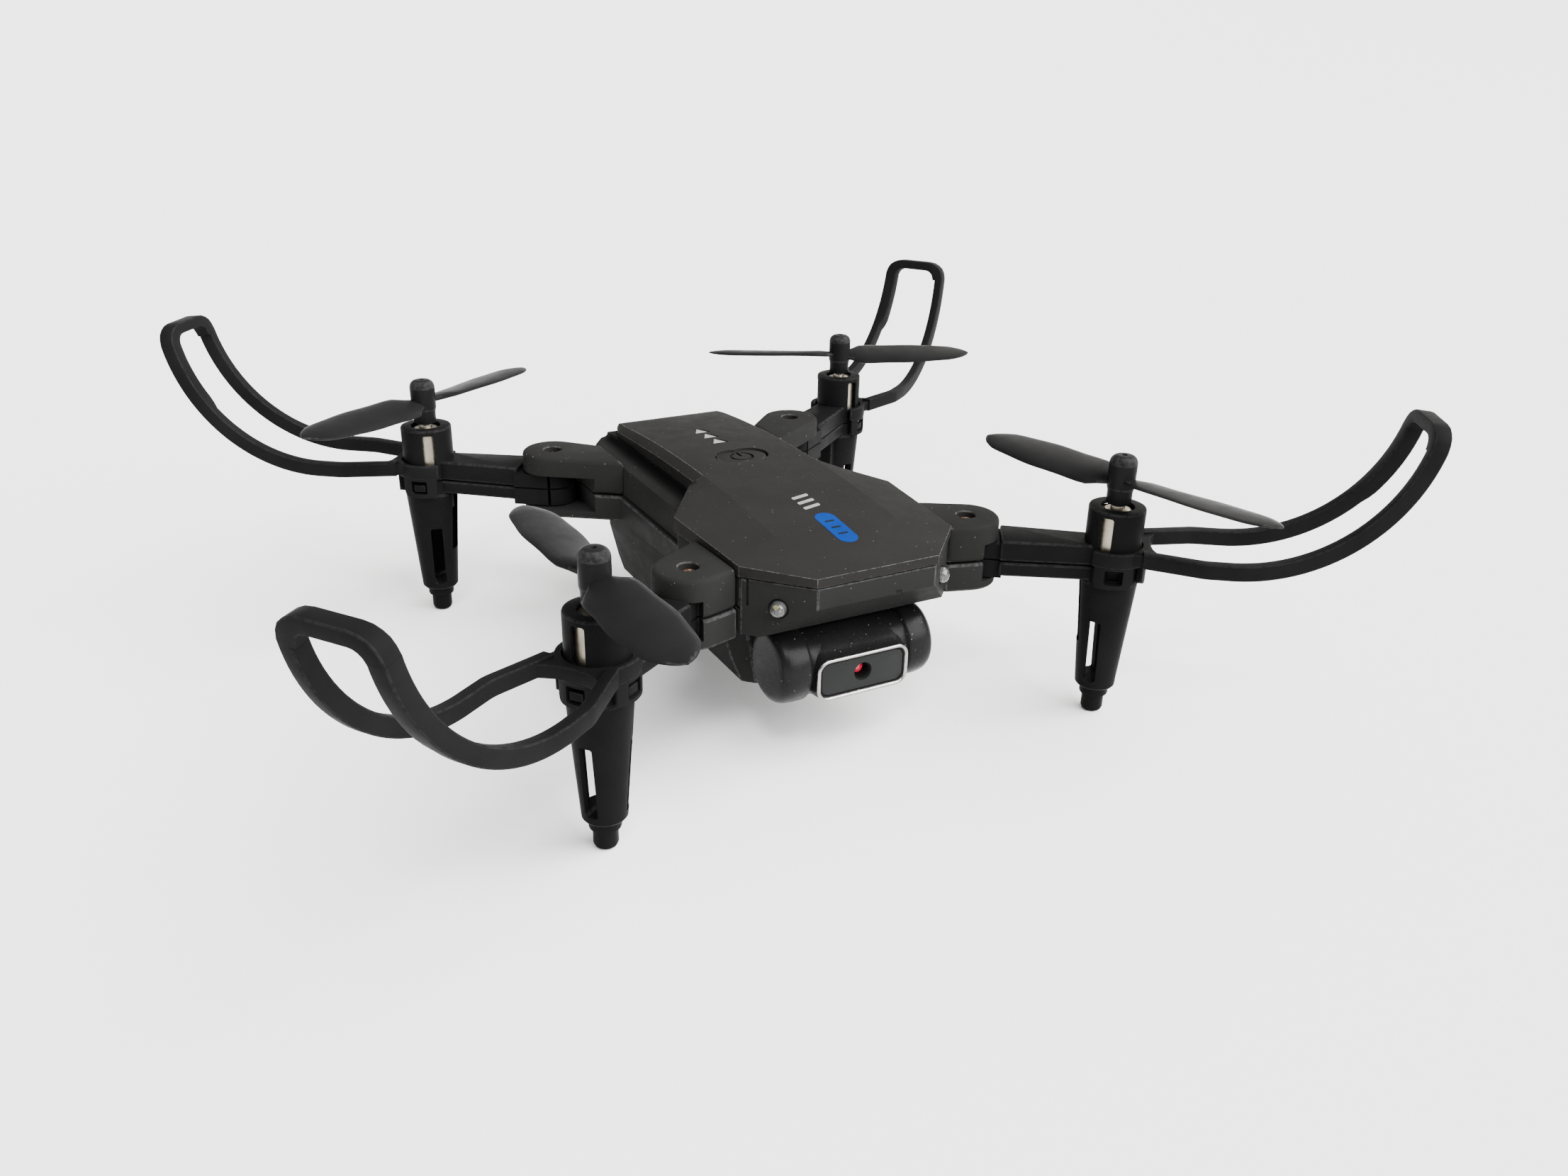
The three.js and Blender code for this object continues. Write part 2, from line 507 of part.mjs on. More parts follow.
const RING = { inner: 5.3, outer: 6.4, low: 31.0, high: 33.8, halfOpening: 128 };
const ringOutline = [[armLength, 0],
  ...arcPoints(armLength, 0, RING.outer, rad(-RING.halfOpening), rad(RING.halfOpening), 14)];
// a curved skirt below the ring, with a window that snaps over a catch
const CLIP = { outer: 6.3, low: 27.2, high: RING.low + 0.4, halfAngle: 34, windowHalf: 1.6, windowLow: 27.9, windowHigh: 30.6 };
const clips = [90, -90, 0].map((angle) => {
  const skirt = prism([[armLength, 0], ...arcPoints(armLength, 0, CLIP.outer, rad(angle - CLIP.halfAngle),
    rad(angle + CLIP.halfAngle), 6)], CLIP.low, CLIP.high);
  const window = new THREE.BoxGeometry(4, 2 * CLIP.windowHalf, CLIP.windowHigh - CLIP.windowLow);
  window.translate(CLIP.outer, 0, (CLIP.windowLow + CLIP.windowHigh) / 2);
  window.rotateZ(rad(angle));
  window.translate(armLength, 0, 0);
  return skirt.subtract(solid(window));
});
const web = prism([[3, -5.6], [8.4, -6.7], [6.6, -2.5], [6.6, 2.5], [8.4, 6.7], [3, 5.6]]
  .map(([x, y]) => [armLength + x, y]), RING.low + 0.6, RING.high);
const guard = cut(unite([guardLoop(), prism(ringOutline, RING.low, RING.high), web, ...clips]), [
  column(armLength, 0, RING.inner, 20, 40, 20),
]);

// ---- propeller: blades along +X and -X, leading edge raised; spin +1 turns counter-clockwise ----
function blade(spin, turn) {
  // each station: radius, share of the chord, pitch in degrees, thickness
  const stations = [[1.6, 0.33, 14.5, 1.7], [3.6, 0.62, 14.0, 1.6], [6.0, 0.9, 13.1, 1.4], [11.0, 0.93, 11.5, 1.2],
    [17.0, 1.0, 9.7, 1.05], [22.0, 0.9, 8.4, 0.95], [26.0, 0.8, 7.6, 0.85], [28.5, 0.52, 7.2, 0.75],
    [PROP.radius, 0.16, 7.0, 0.6]];
  const section = [[-1, 0], [-0.5, -0.8], [0.4, -0.9], [1, -0.1], [0.4, 0.9], [-0.5, 0.8]];
  return loft(stations.map(([radius, width, pitch, thickness]) => section.map(([across, over]) => {
    const chordwise = across * PROP.chord * width / 2;
    const lift = over * thickness / 2;
    const tilt = rad(pitch) * spin;
    const y = chordwise * Math.cos(tilt) - lift * Math.sin(tilt);
    const z = chordwise * Math.sin(tilt) + lift * Math.cos(tilt);
    return [turn * radius, turn * y, PROP.height + PROP.rise * radius + z];
  })));
}

const hub = turned([[0, CAN.shaftTop + 0.4], [0.85, CAN.shaftTop + 0.4], [0.85, PROP.hubLow],
  [PROP.hubRadius, PROP.hubLow], [PROP.hubRadius, 48.9], [1.5, PROP.hubHigh], [0, PROP.hubHigh]], 0, 0, 12);
const propeller = (spin) => unite([hub, blade(spin, 1), blade(spin, -1)]);

const CORNERS = [
  { name: 'front_right', x: 1, y: -1, blade: -77.2, spin: -1 },
  { name: 'front_left', x: -1, y: -1, blade: -89.0, spin: 1 },
  { name: 'rear_left', x: -1, y: 1, blade: 31.8, spin: -1 },
  { name: 'rear_right', x: 1, y: 1, blade: -23.6, spin: 1 },
];

for (const corner of CORNERS) {
  const arm = new THREE.Group();
  arm.position.set(corner.x * EAR.x, corner.y * EAR.y, 0);
  arm.rotation.z = Math.atan2(corner.y * Math.sin(armAngle), corner.x * Math.cos(armAngle));
  add(`arm_upper_${corner.name}`, armUpper, material.arm, arm);
  add(`arm_leg_${corner.name}`, armLower, material.arm, arm);
  add(`motor_${corner.name}`, can, material.can, arm);
  add(`guard_${corner.name}`, guard, material.guard, arm);
  root.add(arm);

  const spinner = new THREE.Group();
  spinner.position.set(corner.x * MOTOR.x, corner.y * MOTOR.y, 0);
  spinner.rotation.z = rad(corner.blade);
  add(`propeller_${corner.name}`, propeller(corner.spin), material.propeller, spinner);
  root.add(spinner);
}

export default root;
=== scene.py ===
import json
import math

import bmesh
import bpy
from mathutils import Matrix, Vector


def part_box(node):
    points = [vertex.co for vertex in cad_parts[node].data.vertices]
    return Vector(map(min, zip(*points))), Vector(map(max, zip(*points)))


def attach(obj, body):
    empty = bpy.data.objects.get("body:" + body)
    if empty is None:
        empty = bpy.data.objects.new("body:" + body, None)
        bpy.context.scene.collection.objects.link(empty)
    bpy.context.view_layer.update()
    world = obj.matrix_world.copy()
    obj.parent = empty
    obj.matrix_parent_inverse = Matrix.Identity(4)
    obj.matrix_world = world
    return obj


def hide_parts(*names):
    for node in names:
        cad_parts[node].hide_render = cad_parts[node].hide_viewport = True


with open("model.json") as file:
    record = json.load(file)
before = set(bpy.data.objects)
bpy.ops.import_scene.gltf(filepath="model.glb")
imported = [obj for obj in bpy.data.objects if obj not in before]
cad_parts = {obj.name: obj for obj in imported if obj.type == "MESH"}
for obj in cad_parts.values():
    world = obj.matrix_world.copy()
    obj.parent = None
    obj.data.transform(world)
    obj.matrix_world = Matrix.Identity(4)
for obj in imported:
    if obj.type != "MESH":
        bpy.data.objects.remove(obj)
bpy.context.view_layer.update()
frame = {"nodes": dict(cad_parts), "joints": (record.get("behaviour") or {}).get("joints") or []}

MM = 0.001
GAP = 0.3

# ---- sizes in millimetres, read from the frame where it has them ----


def box_mm(node):
    low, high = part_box(node)
    return low / MM, high / MM


def joint_mm(name):
    return next(Vector(j["pos_m"]) / MM for j in frame["joints"] if j["name"] == name)


PIVOT = joint_mm("fold_front_right")
MOTOR = joint_mm("spin_front_right")
EAR_X, EAR_Y = abs(PIVOT.x), abs(PIVOT.y)
ARM_LENGTH = math.hypot(MOTOR.x - PIVOT.x, MOTOR.y - PIVOT.y)
ARM_ANGLE = math.atan2(abs(MOTOR.y) - EAR_Y, abs(MOTOR.x) - EAR_X)
POD = joint_mm("camera_tilt")
HOUSING_TOP = box_mm("arm_upper_front_right")[1].z
COVER_FRONT, COVER_REAR = box_mm("top_cover")[0].y, box_mm("top_cover")[1].y
BELLY_FLOOR = box_mm("lower_shell")[0].z
HUB_LOW, HUB_HIGH = box_mm("propeller_front_right")[0].z, box_mm("propeller_front_right")[1].z
EAR_TOP, EAR_LOW, EAR_RADIUS = 37.2, 24.8, 6.0
POCKET_LOW, POCKET_HIGH, POCKET_RADIUS = 26.4, 33.4, 4.8
SCREW_HOLE = 1.3
SEAM = 30.15
ABOVE_SEAM, BELOW_SEAM = SEAM + GAP / 2, SEAM - GAP / 2
COVER_RIM, DECK_RIM = 36.0, 37.9
CREASE = 11.5
HOUSING_RADIUS, HOUSING_BORE, CAN_RADIUS = 5.0, 4.35, 4.05
PROP_RADIUS, PROP_HEIGHT, PROP_RISE, PROP_CHORD = 30.5, 45.25, 0.019, 9.8

# ---- outlines ----


def arc(x, y, radius, start, end, steps):
    turns = [math.radians(start + (end - start) * i / steps) for i in range(steps + 1)]
    return [(x + radius * math.cos(t), y + radius * math.sin(t)) for t in turns]


def circle(x, y, radius, sides):
    return arc(x, y, radius, 0, 360 * (1 - 1 / sides), sides - 1)


def rounded(points, radius, steps=4):
    """The closed outline with each corner replaced by a small arc-like curve."""
    out = []
    for i, here in enumerate(points):
        here = Vector(here)
        before, after = Vector(points[i - 1]), Vector(points[(i + 1) % len(points)])
        reach = min(radius, (before - here).length * 0.45, (after - here).length * 0.45)
        start = here + (before - here).normalized() * reach
        end = here + (after - here).normalized() * reach
        for k in range(steps + 1):
            t = k / steps
            out.append(tuple(start * (1 - t) ** 2 + here * 2 * t * (1 - t) + end * t ** 2))
    return out


def rounded_box(half_a, half_b, radius, steps=6, a=0.0, b=0.0):
    points = []
    for turn, (sign_a, sign_b) in enumerate([(1, 1), (-1, 1), (-1, -1), (1, -1)]):
        points += arc(a + sign_a * (half_a - radius), b + sign_b * (half_b - radius), radius,
                      90 * turn, 90 * (turn + 1), steps)
    return points


def both_sides(half):
    """An outline from its right half, front to rear."""
    return list(half) + [(-x, y) for x, y in reversed(half)]


# ---- solids: every builder returns an object whose mesh is in millimetres ----

PLANES = {
    "xy": lambda a, b, h: (a, b, h),
    "yz": lambda a, b, h: (h, a, b),
    "xz": lambda a, b, h: (a, h, b),
}


def to_object(bm, name="solid"):
    bmesh.ops.recalc_face_normals(bm, faces=bm.faces)
    mesh = bpy.data.meshes.new(name)
    bm.to_mesh(mesh)
    bm.free()
    obj = bpy.data.objects.new(name, mesh)
    bpy.context.scene.collection.objects.link(obj)
    return obj


def soften(bm, width, limit=25, segments=2):
    """Rounds every edge sharper than the limit."""
    if width <= 0:
        return
    sharp = [e for e in bm.edges if len(e.link_faces) == 2 and e.calc_face_angle(0) > math.radians(limit)]
    bmesh.ops.bevel(bm, geom=sharp, offset=width, offset_type="OFFSET", segments=segments, profile=0.5,
                    affect="EDGES", clamp_overlap=True)


def prism(outline, low, high, edge=0.0, plane="xy", segments=2):
    place = PLANES[plane]
    bm = bmesh.new()
    lower = [bm.verts.new(place(a, b, low)) for a, b in outline]
    upper = [bm.verts.new(place(a, b, high)) for a, b in outline]
    bm.faces.new(lower)
    bm.faces.new(upper)
    for i in range(len(outline)):
        j = (i + 1) % len(outline)
        bm.faces.new((lower[i], lower[j], upper[j], upper[i]))
    bmesh.ops.recalc_face_normals(bm, faces=bm.faces)
    soften(bm, edge, segments=segments)
    return to_object(bm)


def slab(x0, x1, y0, y1, z0, z1, edge=0.0):
    return prism([(x0, y0), (x1, y0), (x1, y1), (x0, y1)], z0, z1, edge)


def lathe(profile, sides=48, x=0.0, y=0.0):
    """(radius, z) points that start and end on the axis, turned about Z."""
    bm = bmesh.new()
    rings = []
    for radius, z in profile:
        if radius < 1e-6:
            rings.append([bm.verts.new((x, y, z))])
        else:
            rings.append([bm.verts.new((px, py, z)) for px, py in circle(x, y, radius, sides)])
    for low, high in zip(rings, rings[1:]):
        for i in range(sides):
            j = (i + 1) % sides
            corners = [low[i % len(low)], low[j % len(low)], high[j % len(high)], high[i % len(high)]]
            unique = list(dict.fromkeys(corners))
            if len(unique) > 2:
                bm.faces.new(unique)
    return to_object(bm)


def column(x, y, radius, low, high, sides=40):
    return prism(circle(x, y, radius, sides), low, high)


def loft(rings, edge=0.0, limit=25):
    bm = bmesh.new()
    rows = [[bm.verts.new(p) for p in ring] for ring in rings]
    for low, high in zip(rows, rows[1:]):
        for i in range(len(low)):
            j = (i + 1) % len(low)
            bm.faces.new((low[i], low[j], high[j], high[i]))
    bm.faces.new(rows[0])
    bm.faces.new(rows[-1])
    bmesh.ops.recalc_face_normals(bm, faces=bm.faces)
    soften(bm, edge, limit)
    return to_object(bm)


def turned_x(profile, y, z, sides):
    """(radius, x) points turned about an axis along X."""
    obj = lathe(profile, sides)
    obj.data.transform(Matrix.Translation((0, y, z)) @ Matrix.Rotation(math.pi / 2, 4, "Y"))
    return obj


def moved(obj, matrix):
    obj.data.transform(matrix)
    return obj


def combine(base, tools, operation):
    for tool in tools:
        step = base.modifiers.new("step", "BOOLEAN")
        step.operation = operation
        step.solver = "EXACT"
        step.object = tool
    bpy.context.view_layer.update()
    seen = base.evaluated_get(bpy.context.evaluated_depsgraph_get())
    mesh = bpy.data.meshes.new_from_object(seen)
    base.modifiers.clear()
    base.data = mesh
    for tool in tools:
        bpy.data.objects.remove(tool)
    return base


def join(base, *tools):
    return combine(base, list(tools), "UNION")


def cut(base, *tools):
    return combine(base, list(tools), "DIFFERENCE")


def common(base, tool):
    return combine(base, [tool], "INTERSECT")


# ---- finishing a piece ----

EDGE_WIDTH, EDGE_TURN = 0.4, (math.radians(12), math.radians(50))
WELD, SLIVER = 0.004, 0.002


def mark_edges(mesh):
    """Marks the narrow faces that round off an edge, for light wear and a painted highlight along edges."""
    bm = bmesh.new()
    bm.from_mesh(mesh)
    marks = []
    for face in bm.faces:
        longest = max(e.calc_length() for e in face.edges)
        sides = [e for e in face.edges if len(e.link_faces) == 2 and e.calc_length() > 0.6 * longest]
        turn = max((e.calc_face_angle(0) for e in sides), default=0)
        narrow = face.calc_area() < EDGE_WIDTH * longest
        marks.append(1.0 if narrow and EDGE_TURN[0] < turn < EDGE_TURN[1] else 0.0)
    bm.free()
    layer = mesh.attributes.new("edge", "FLOAT", "FACE")
    layer.data.foreach_set("value", marks)


def finish_mesh(obj, smooth_below):
    """Cleans and shades a mesh, marks its edges and turns it from millimetres to metres."""
    mesh = obj.data
    bm = bmesh.new()
    bm.from_mesh(mesh)
    bmesh.ops.remove_doubles(bm, verts=bm.verts, dist=WELD)
    bmesh.ops.dissolve_degenerate(bm, dist=SLIVER, edges=bm.edges)
    for face in bm.faces:
        face.smooth = True
    for edge in bm.edges:
        edge.smooth = edge.calc_face_angle(0) < math.radians(smooth_below)
    bm.to_mesh(mesh)
    bm.free()
    mark_edges(mesh)
    mesh.transform(Matrix.Scale(MM, 4))


def publish(obj, name, body, slot, look, *nodes, smooth_below=32):
    obj.name = obj.data.name = name
    finish_mesh(obj, smooth_below)
    obj.data.materials.clear()
    obj.data.materials.append(look)
    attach(obj, body)
    if nodes:
        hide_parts(*nodes)


# ---- materials: patterns are sized in metres, in the space of the object ----

DUST_TONE = (0.22, 0.21, 0.2)
GRAIN_DEPTH, LINE_DEPTH = 0.00003, 0.00002


def grey(level):
    return (level, level, level)


def new_material(name):
    look = bpy.data.materials.new(name)
    look.use_nodes = True
    tree = look.node_tree
    return look, tree, tree.nodes["Principled BSDF"]


def add_noise(tree, scale, detail=4.0, roughness=0.55, stretch=None):
    place = tree.nodes.get("place") or tree.nodes.new("ShaderNodeTexCoord")
    place.name = "place"
    source = place.outputs["Object"]
    if stretch:
        mapping = tree.nodes.new("ShaderNodeMapping")
        mapping.inputs["Scale"].default_value = stretch
        tree.links.new(source, mapping.inputs["Vector"])
        source = mapping.outputs["Vector"]
    texture = tree.nodes.new("ShaderNodeTexNoise")
    texture.inputs["Scale"].default_value = scale
    texture.inputs["Detail"].default_value = detail
    texture.inputs["Roughness"].default_value = roughness
    tree.links.new(source, texture.inputs["Vector"])
    return texture.outputs["Fac"]


def remap(tree, value, low, high, to_low, to_high):
    node = tree.nodes.new("ShaderNodeMapRange")
    tree.links.new(value, node.inputs["Value"])
    for key, number in (("From Min", low), ("From Max", high), ("To Min", to_low), ("To Max", to_high)):
        node.inputs[key].default_value = number
    return node.outputs["Result"]


def mix_color(tree, factor, first, second):
    node = tree.nodes.new("ShaderNodeMix")
    node.data_type = "RGBA"
    tree.links.new(factor, node.inputs["Factor"])
    for key, color in ((6, first), (7, second)):
        if isinstance(color, tuple):
            node.inputs[key].default_value = (*color, 1)
        else:
            tree.links.new(color, node.inputs[key])
    return node.outputs[2]


def add_math(tree, operation, *values):
    node = tree.nodes.new("ShaderNodeMath")
    node.operation = operation
    for slot, value in zip(node.inputs, values):
        tree.links.new(value, slot)
    return node.outputs[0]


def add_bump(tree, shader, height, distance, strength):
    node = tree.nodes.new("ShaderNodeBump")
    node.inputs["Distance"].default_value = distance
    node.inputs["Strength"].default_value = strength
    tree.links.new(height, node.inputs["Height"])
    tree.links.new(node.outputs["Normal"], shader.inputs["Normal"])


def painted_shade_mask(tree):
    """Where the shade is painted: 1 down in the two channels beside the rear deck, and 0 elsewhere."""
    axes = tree.nodes.new("ShaderNodeSeparateXYZ")
    tree.links.new(tree.nodes["place"].outputs["Object"], axes.inputs["Vector"])
    side, along = add_math(tree, "ABSOLUTE", axes.outputs["X"]), axes.outputs["Y"]
    across = add_math(tree, "MULTIPLY", remap(tree, side, 0.01306, 0.01314, 0, 1),
                      remap(tree, side, 0.0138, 0.0158, 1, 0))
    length = add_math(tree, "MULTIPLY", remap(tree, along, -0.0062, -0.0048, 0, 1),
                      remap(tree, along, 0.036, 0.038, 1, 0))
    return add_math(tree, "MULTIPLY", across, length)


def moulded(name, dark, light, rough, grain_mm=0.12, grain=0.35, dust=0.0, wear_and_highlight=None, specular=0.5,
            painted_shade=None):
    """Moulded plastic: slow colour drift, fine grain, faint rubbed edges that are partly a painted
    highlight, a little dust, and painted shade in the channels beside the rear deck.
    """
    look, tree, shader = new_material(name)
    drift = remap(tree, add_noise(tree, 90, 5), 0.3, 0.7, 0, 1)
    color = mix_color(tree, drift, dark, light)
    # lighter edges: partly wear, partly a painted highlight along edges
    if wear_and_highlight:
        edge = tree.nodes.new("ShaderNodeAttribute")
        edge.attribute_name = "edge"
        patchy = remap(tree, add_noise(tree, 1400, 4), 0.36, 0.58, 0.1, 0.8)
        color = mix_color(tree, add_math(tree, "MULTIPLY", edge.outputs["Fac"], patchy), color, wear_and_highlight)
    if dust:
        specks = remap(tree, add_noise(tree, 2600, 1.5, 0.4), 0.77 - dust, 0.80 - dust, 0, 0.5)
        color = mix_color(tree, specks, color, DUST_TONE)
    # painted shade: darkens the channels beside the rear deck
    if painted_shade:
        color = mix_color(tree, painted_shade_mask(tree), color, painted_shade)
    tree.links.new(color, shader.inputs["Base Color"])
    tree.links.new(remap(tree, add_noise(tree, 260, 6, 0.65), 0.3, 0.7, rough - 0.06, rough + 0.07),
                   shader.inputs["Roughness"])
    shader.inputs["Specular IOR Level"].default_value = specular
    add_bump(tree, shader, add_noise(tree, 1 / (grain_mm * MM), 3, 0.5), GRAIN_DEPTH, grain)
    return look


def metallic(name, dark, light, rough, scale=900, stretch=None):
    """Bright metal with a drift of tint and fine lines."""
    look, tree, shader = new_material(name)
    lines = add_noise(tree, scale, 6, 0.5, stretch)
    tree.links.new(mix_color(tree, remap(tree, lines, 0.3, 0.7, 0, 1), dark, light),
                   shader.inputs["Base Color"])
    tree.links.new(remap(tree, lines, 0.3, 0.7, rough - 0.07, rough + 0.1), shader.inputs["Roughness"])
    shader.inputs["Metallic"].default_value = 1.0
    add_bump(tree, shader, lines, LINE_DEPTH, 0.25)
    return look


def clear_dome(name):
    """Clear lamp plastic with a slight, uneven tint."""
    look, tree, shader = new_material(name)
    drift = remap(tree, add_noise(tree, 1200), 0.4, 0.6, 0, 1)
    tint = mix_color(tree, drift, (0.32, 0.33, 0.34), (0.5, 0.5, 0.48))
    tree.links.new(tint, shader.inputs["Base Color"])
    tree.links.new(remap(tree, add_noise(tree, 2500), 0.3, 0.7, 0.04, 0.12), shader.inputs["Roughness"])
    shader.inputs["Transmission Weight"].default_value = 0.9
    shader.inputs["IOR"].default_value = 1.5
    return look


# painted shade: the dark tone laid into the channels beside the rear deck on the cover and the upper shell
PAINTED_SHADE_TONE = grey(0.0022)
# the lighter edge tones below are partly wear, partly a painted highlight along edges
COVER = moulded("cover_plastic", (0.0112, 0.0110, 0.0104), (0.0132, 0.0129, 0.0122), 0.5,
                wear_and_highlight=(0.09, 0.09, 0.085), dust=0.004, specular=0.005, painted_shade=PAINTED_SHADE_TONE)
UPPER = moulded("upper_shell_plastic", (0.0100, 0.0100, 0.0097), (0.0122, 0.0122, 0.0118), 0.48,
                wear_and_highlight=(0.045, 0.045, 0.044), dust=0.004, specular=0.004, painted_shade=PAINTED_SHADE_TONE)
LOWER = moulded("lower_shell_plastic", (0.0104, 0.0104, 0.0102), (0.0128, 0.0128, 0.0126), 0.48,
                wear_and_highlight=grey(0.04), dust=0.004, specular=0.005)
ARM = moulded("arm_plastic", (0.0038, 0.0038, 0.0039), (0.0054, 0.0054, 0.0055), 0.4, wear_and_highlight=grey(0.014),
              specular=0.01)
STRAP = moulded("guard_plastic", (0.0048, 0.0048, 0.0049), (0.0068, 0.0068, 0.007), 0.44, wear_and_highlight=grey(0.012),
                specular=0.01)
BLADE = moulded("propeller_plastic", (0.0052, 0.0052, 0.0054), (0.0072, 0.0072, 0.0074), 0.36, grain_mm=0.3,
                grain=0.15, wear_and_highlight=grey(0.02), specular=0.02)
POD_SKIN = moulded("pod_plastic", (0.0040, 0.0040, 0.0042), (0.0060, 0.0060, 0.0063), 0.27, grain_mm=0.16,
                   grain=0.8, dust=0.02, specular=0.07)
WINDOW = moulded("window_plastic", (0.0058, 0.0060, 0.0062), (0.0074, 0.0076, 0.0078), 0.4, grain_mm=0.4,
                 grain=0.1, specular=0.12)
PAD = moulded("button_plastic", (0.0110, 0.0108, 0.0102), (0.0130, 0.0127, 0.0120), 0.5,
              wear_and_highlight=(0.05, 0.05, 0.047), specular=0.005)
DARK = moulded("dark_plastic", grey(0.0012), grey(0.002), 0.6, specular=0.1)
PALE = moulded("white_print", grey(0.16), (0.21, 0.21, 0.205), 0.55, wear_and_highlight=grey(0.14), specular=0.02)
BLUE = moulded("blue_print", (0.0008, 0.018, 0.115), (0.0012, 0.023, 0.14), 0.42, grain=0.15, specular=0.012)
BOARD = moulded("circuit_board", (0.004, 0.02, 0.01), (0.006, 0.028, 0.015), 0.4, wear_and_highlight=(0.09, 0.07, 0.03),
                specular=0.3)
CELL = moulded("battery_case", (0.0065, 0.0065, 0.007), (0.0095, 0.0095, 0.0105), 0.45, wear_and_highlight=grey(0.018),
               specular=0.05)
TRIM = metallic("bright_trim", (0.25, 0.243, 0.235), (0.36, 0.35, 0.34), 0.24)
CAN = metallic("motor_metal", (0.27, 0.24, 0.19), (0.33, 0.295, 0.235), 0.34, 500, (1, 1, 6))
COPPER = metallic("screw_brass", (0.36, 0.23, 0.16), (0.6, 0.43, 0.32), 0.36)
PHOSPHOR = moulded("lamp_phosphor", (0.30, 0.26, 0.02), (0.42, 0.36, 0.04), 0.4, specular=0.1)
LENS = moulded("lens_glass", (0.30, 0.004, 0.02), (0.40, 0.01, 0.035), 0.1, grain=0.0, specular=0.6)
DOME = clear_dome("led_clear")

# ---- camera, floor and light ----

VIEW = {"azimuth": -28.82, "elevation": 24.28, "roll": 1.30, "place": (-105.06, -206.47, 119.23)}
LENS_MM, SENSOR_MM = 29.57, 36.0


def set_camera():
    a, e, r = (math.radians(VIEW[key]) for key in ("azimuth", "elevation", "roll"))
    back = Vector((math.sin(a) * math.cos(e), -math.cos(a) * math.cos(e), math.sin(e)))
    level = Vector((math.cos(a), math.sin(a), 0))
    upright = back.cross(level)
    right = math.cos(r) * level + math.sin(r) * upright
    up = math.cos(r) * upright - math.sin(r) * level
    data = bpy.data.cameras.new("camera")
    data.lens, data.sensor_width = LENS_MM, SENSOR_MM
    data.clip_start, data.clip_end = 0.01, 400
    camera = bpy.data.objects.new("camera", data)
    turn = Matrix((right, up, back)).transposed().to_4x4()
    camera.matrix_world = Matrix.Translation(Vector(VIEW["place"]) * MM) @ turn
    bpy.context.scene.collection.objects.link(camera)
    bpy.context.scene.camera = camera


def soft_sun(name, toward, power, spread, tint=(1, 1, 1)):
    """A very wide, even light that comes from the given direction."""
    data = bpy.data.lights.new(name, "SUN")
    data.energy, data.color, data.angle = power, tint, math.radians(spread)
    light = bpy.data.objects.new(name, data)
    light.rotation_euler = Vector(toward).to_track_quat("Z", "Y").to_euler()
    bpy.context.scene.collection.objects.link(light)


# metres, radius and rise: a flat floor that curves up far away, and fades to the tone behind it,
# so that it shows no horizon
FLOOR_RINGS = [(3, 0.0), (4, 0.01), (5, 0.035), (6, 0.08), (7, 0.16), (8, 0.3), (9, 0.52), (10, 0.85),
               (11, 1.3), (12, 1.9), (13, 2.7), (14, 3.6)]
FLOOR_SIDES, FADE_FROM, FADE_TO = 96, 8, 14
PAPER_DARK, PAPER_LIGHT, FAR_TONE = grey(0.80), grey(0.82), grey(0.19)
WORLD_STRENGTH = 0.85


def floor_mesh():
    bm = bmesh.new()
    rings = [[bm.verts.new((x, y, rise)) for x, y in circle(0, 0, radius, FLOOR_SIDES)]
             for radius, rise in FLOOR_RINGS]
    bm.faces.new(rings[0])
    for inner, outer in zip(rings, rings[1:]):
        for i in range(FLOOR_SIDES):
            bm.faces.new((inner[i - 1], inner[i], outer[i], outer[i - 1]))
    return to_object(bm, "floor")


def set_stage():
    floor = floor_mesh()
    for face in floor.data.polygons:
        face.use_smooth = True
    look, tree, shader = new_material("floor_paper")
    tint = mix_color(tree, add_noise(tree, 0.05), PAPER_DARK, PAPER_LIGHT)
    reach = tree.nodes.new("ShaderNodeVectorMath")
    reach.operation = "LENGTH"
    tree.links.new(tree.nodes["place"].outputs["Object"], reach.inputs[0])
    far = remap(tree, reach.outputs["Value"], FADE_FROM, FADE_TO, 0, 1)
    tree.links.new(mix_color(tree, far, tint, FAR_TONE), shader.inputs["Base Color"])
    shader.inputs["Roughness"].default_value = 1.0
    shader.inputs["Specular IOR Level"].default_value = 0.0
    floor.data.materials.append(look)
    world = bpy.context.scene.world or bpy.data.worlds.new("world")
    bpy.context.scene.world = world
    world.use_nodes = True
    backdrop = world.node_tree.nodes["Background"].inputs
    backdrop["Color"].default_value = (1, 1, 1, 1)
    backdrop["Strength"].default_value = WORLD_STRENGTH
    soft_sun("key", (1.1, -1.2, 1.35), 15.0, 70)
    soft_sun("sheen", (0.9, 0.4, 0.5), 2.0, 60, (1.0, 0.97, 0.88))
    soft_sun("glint", (-0.5, -1.0, 1.5), 2.0, 14)


set_camera()
set_stage()

# ---- top cover ----

CROWN_HEIGHT, CROWN_Y, CROWN_SPREAD = 41.4, 2, 640
DECK_END, DECK_END_HEIGHT = 37.0, 39.4
COVER_WALL, COVER_EDGE = 1.3, 0.28


def crown(y):
    """The height of the cover's slightly domed centre panel."""
    return CROWN_HEIGHT - (y - CROWN_Y) ** 2 / CROWN_SPREAD


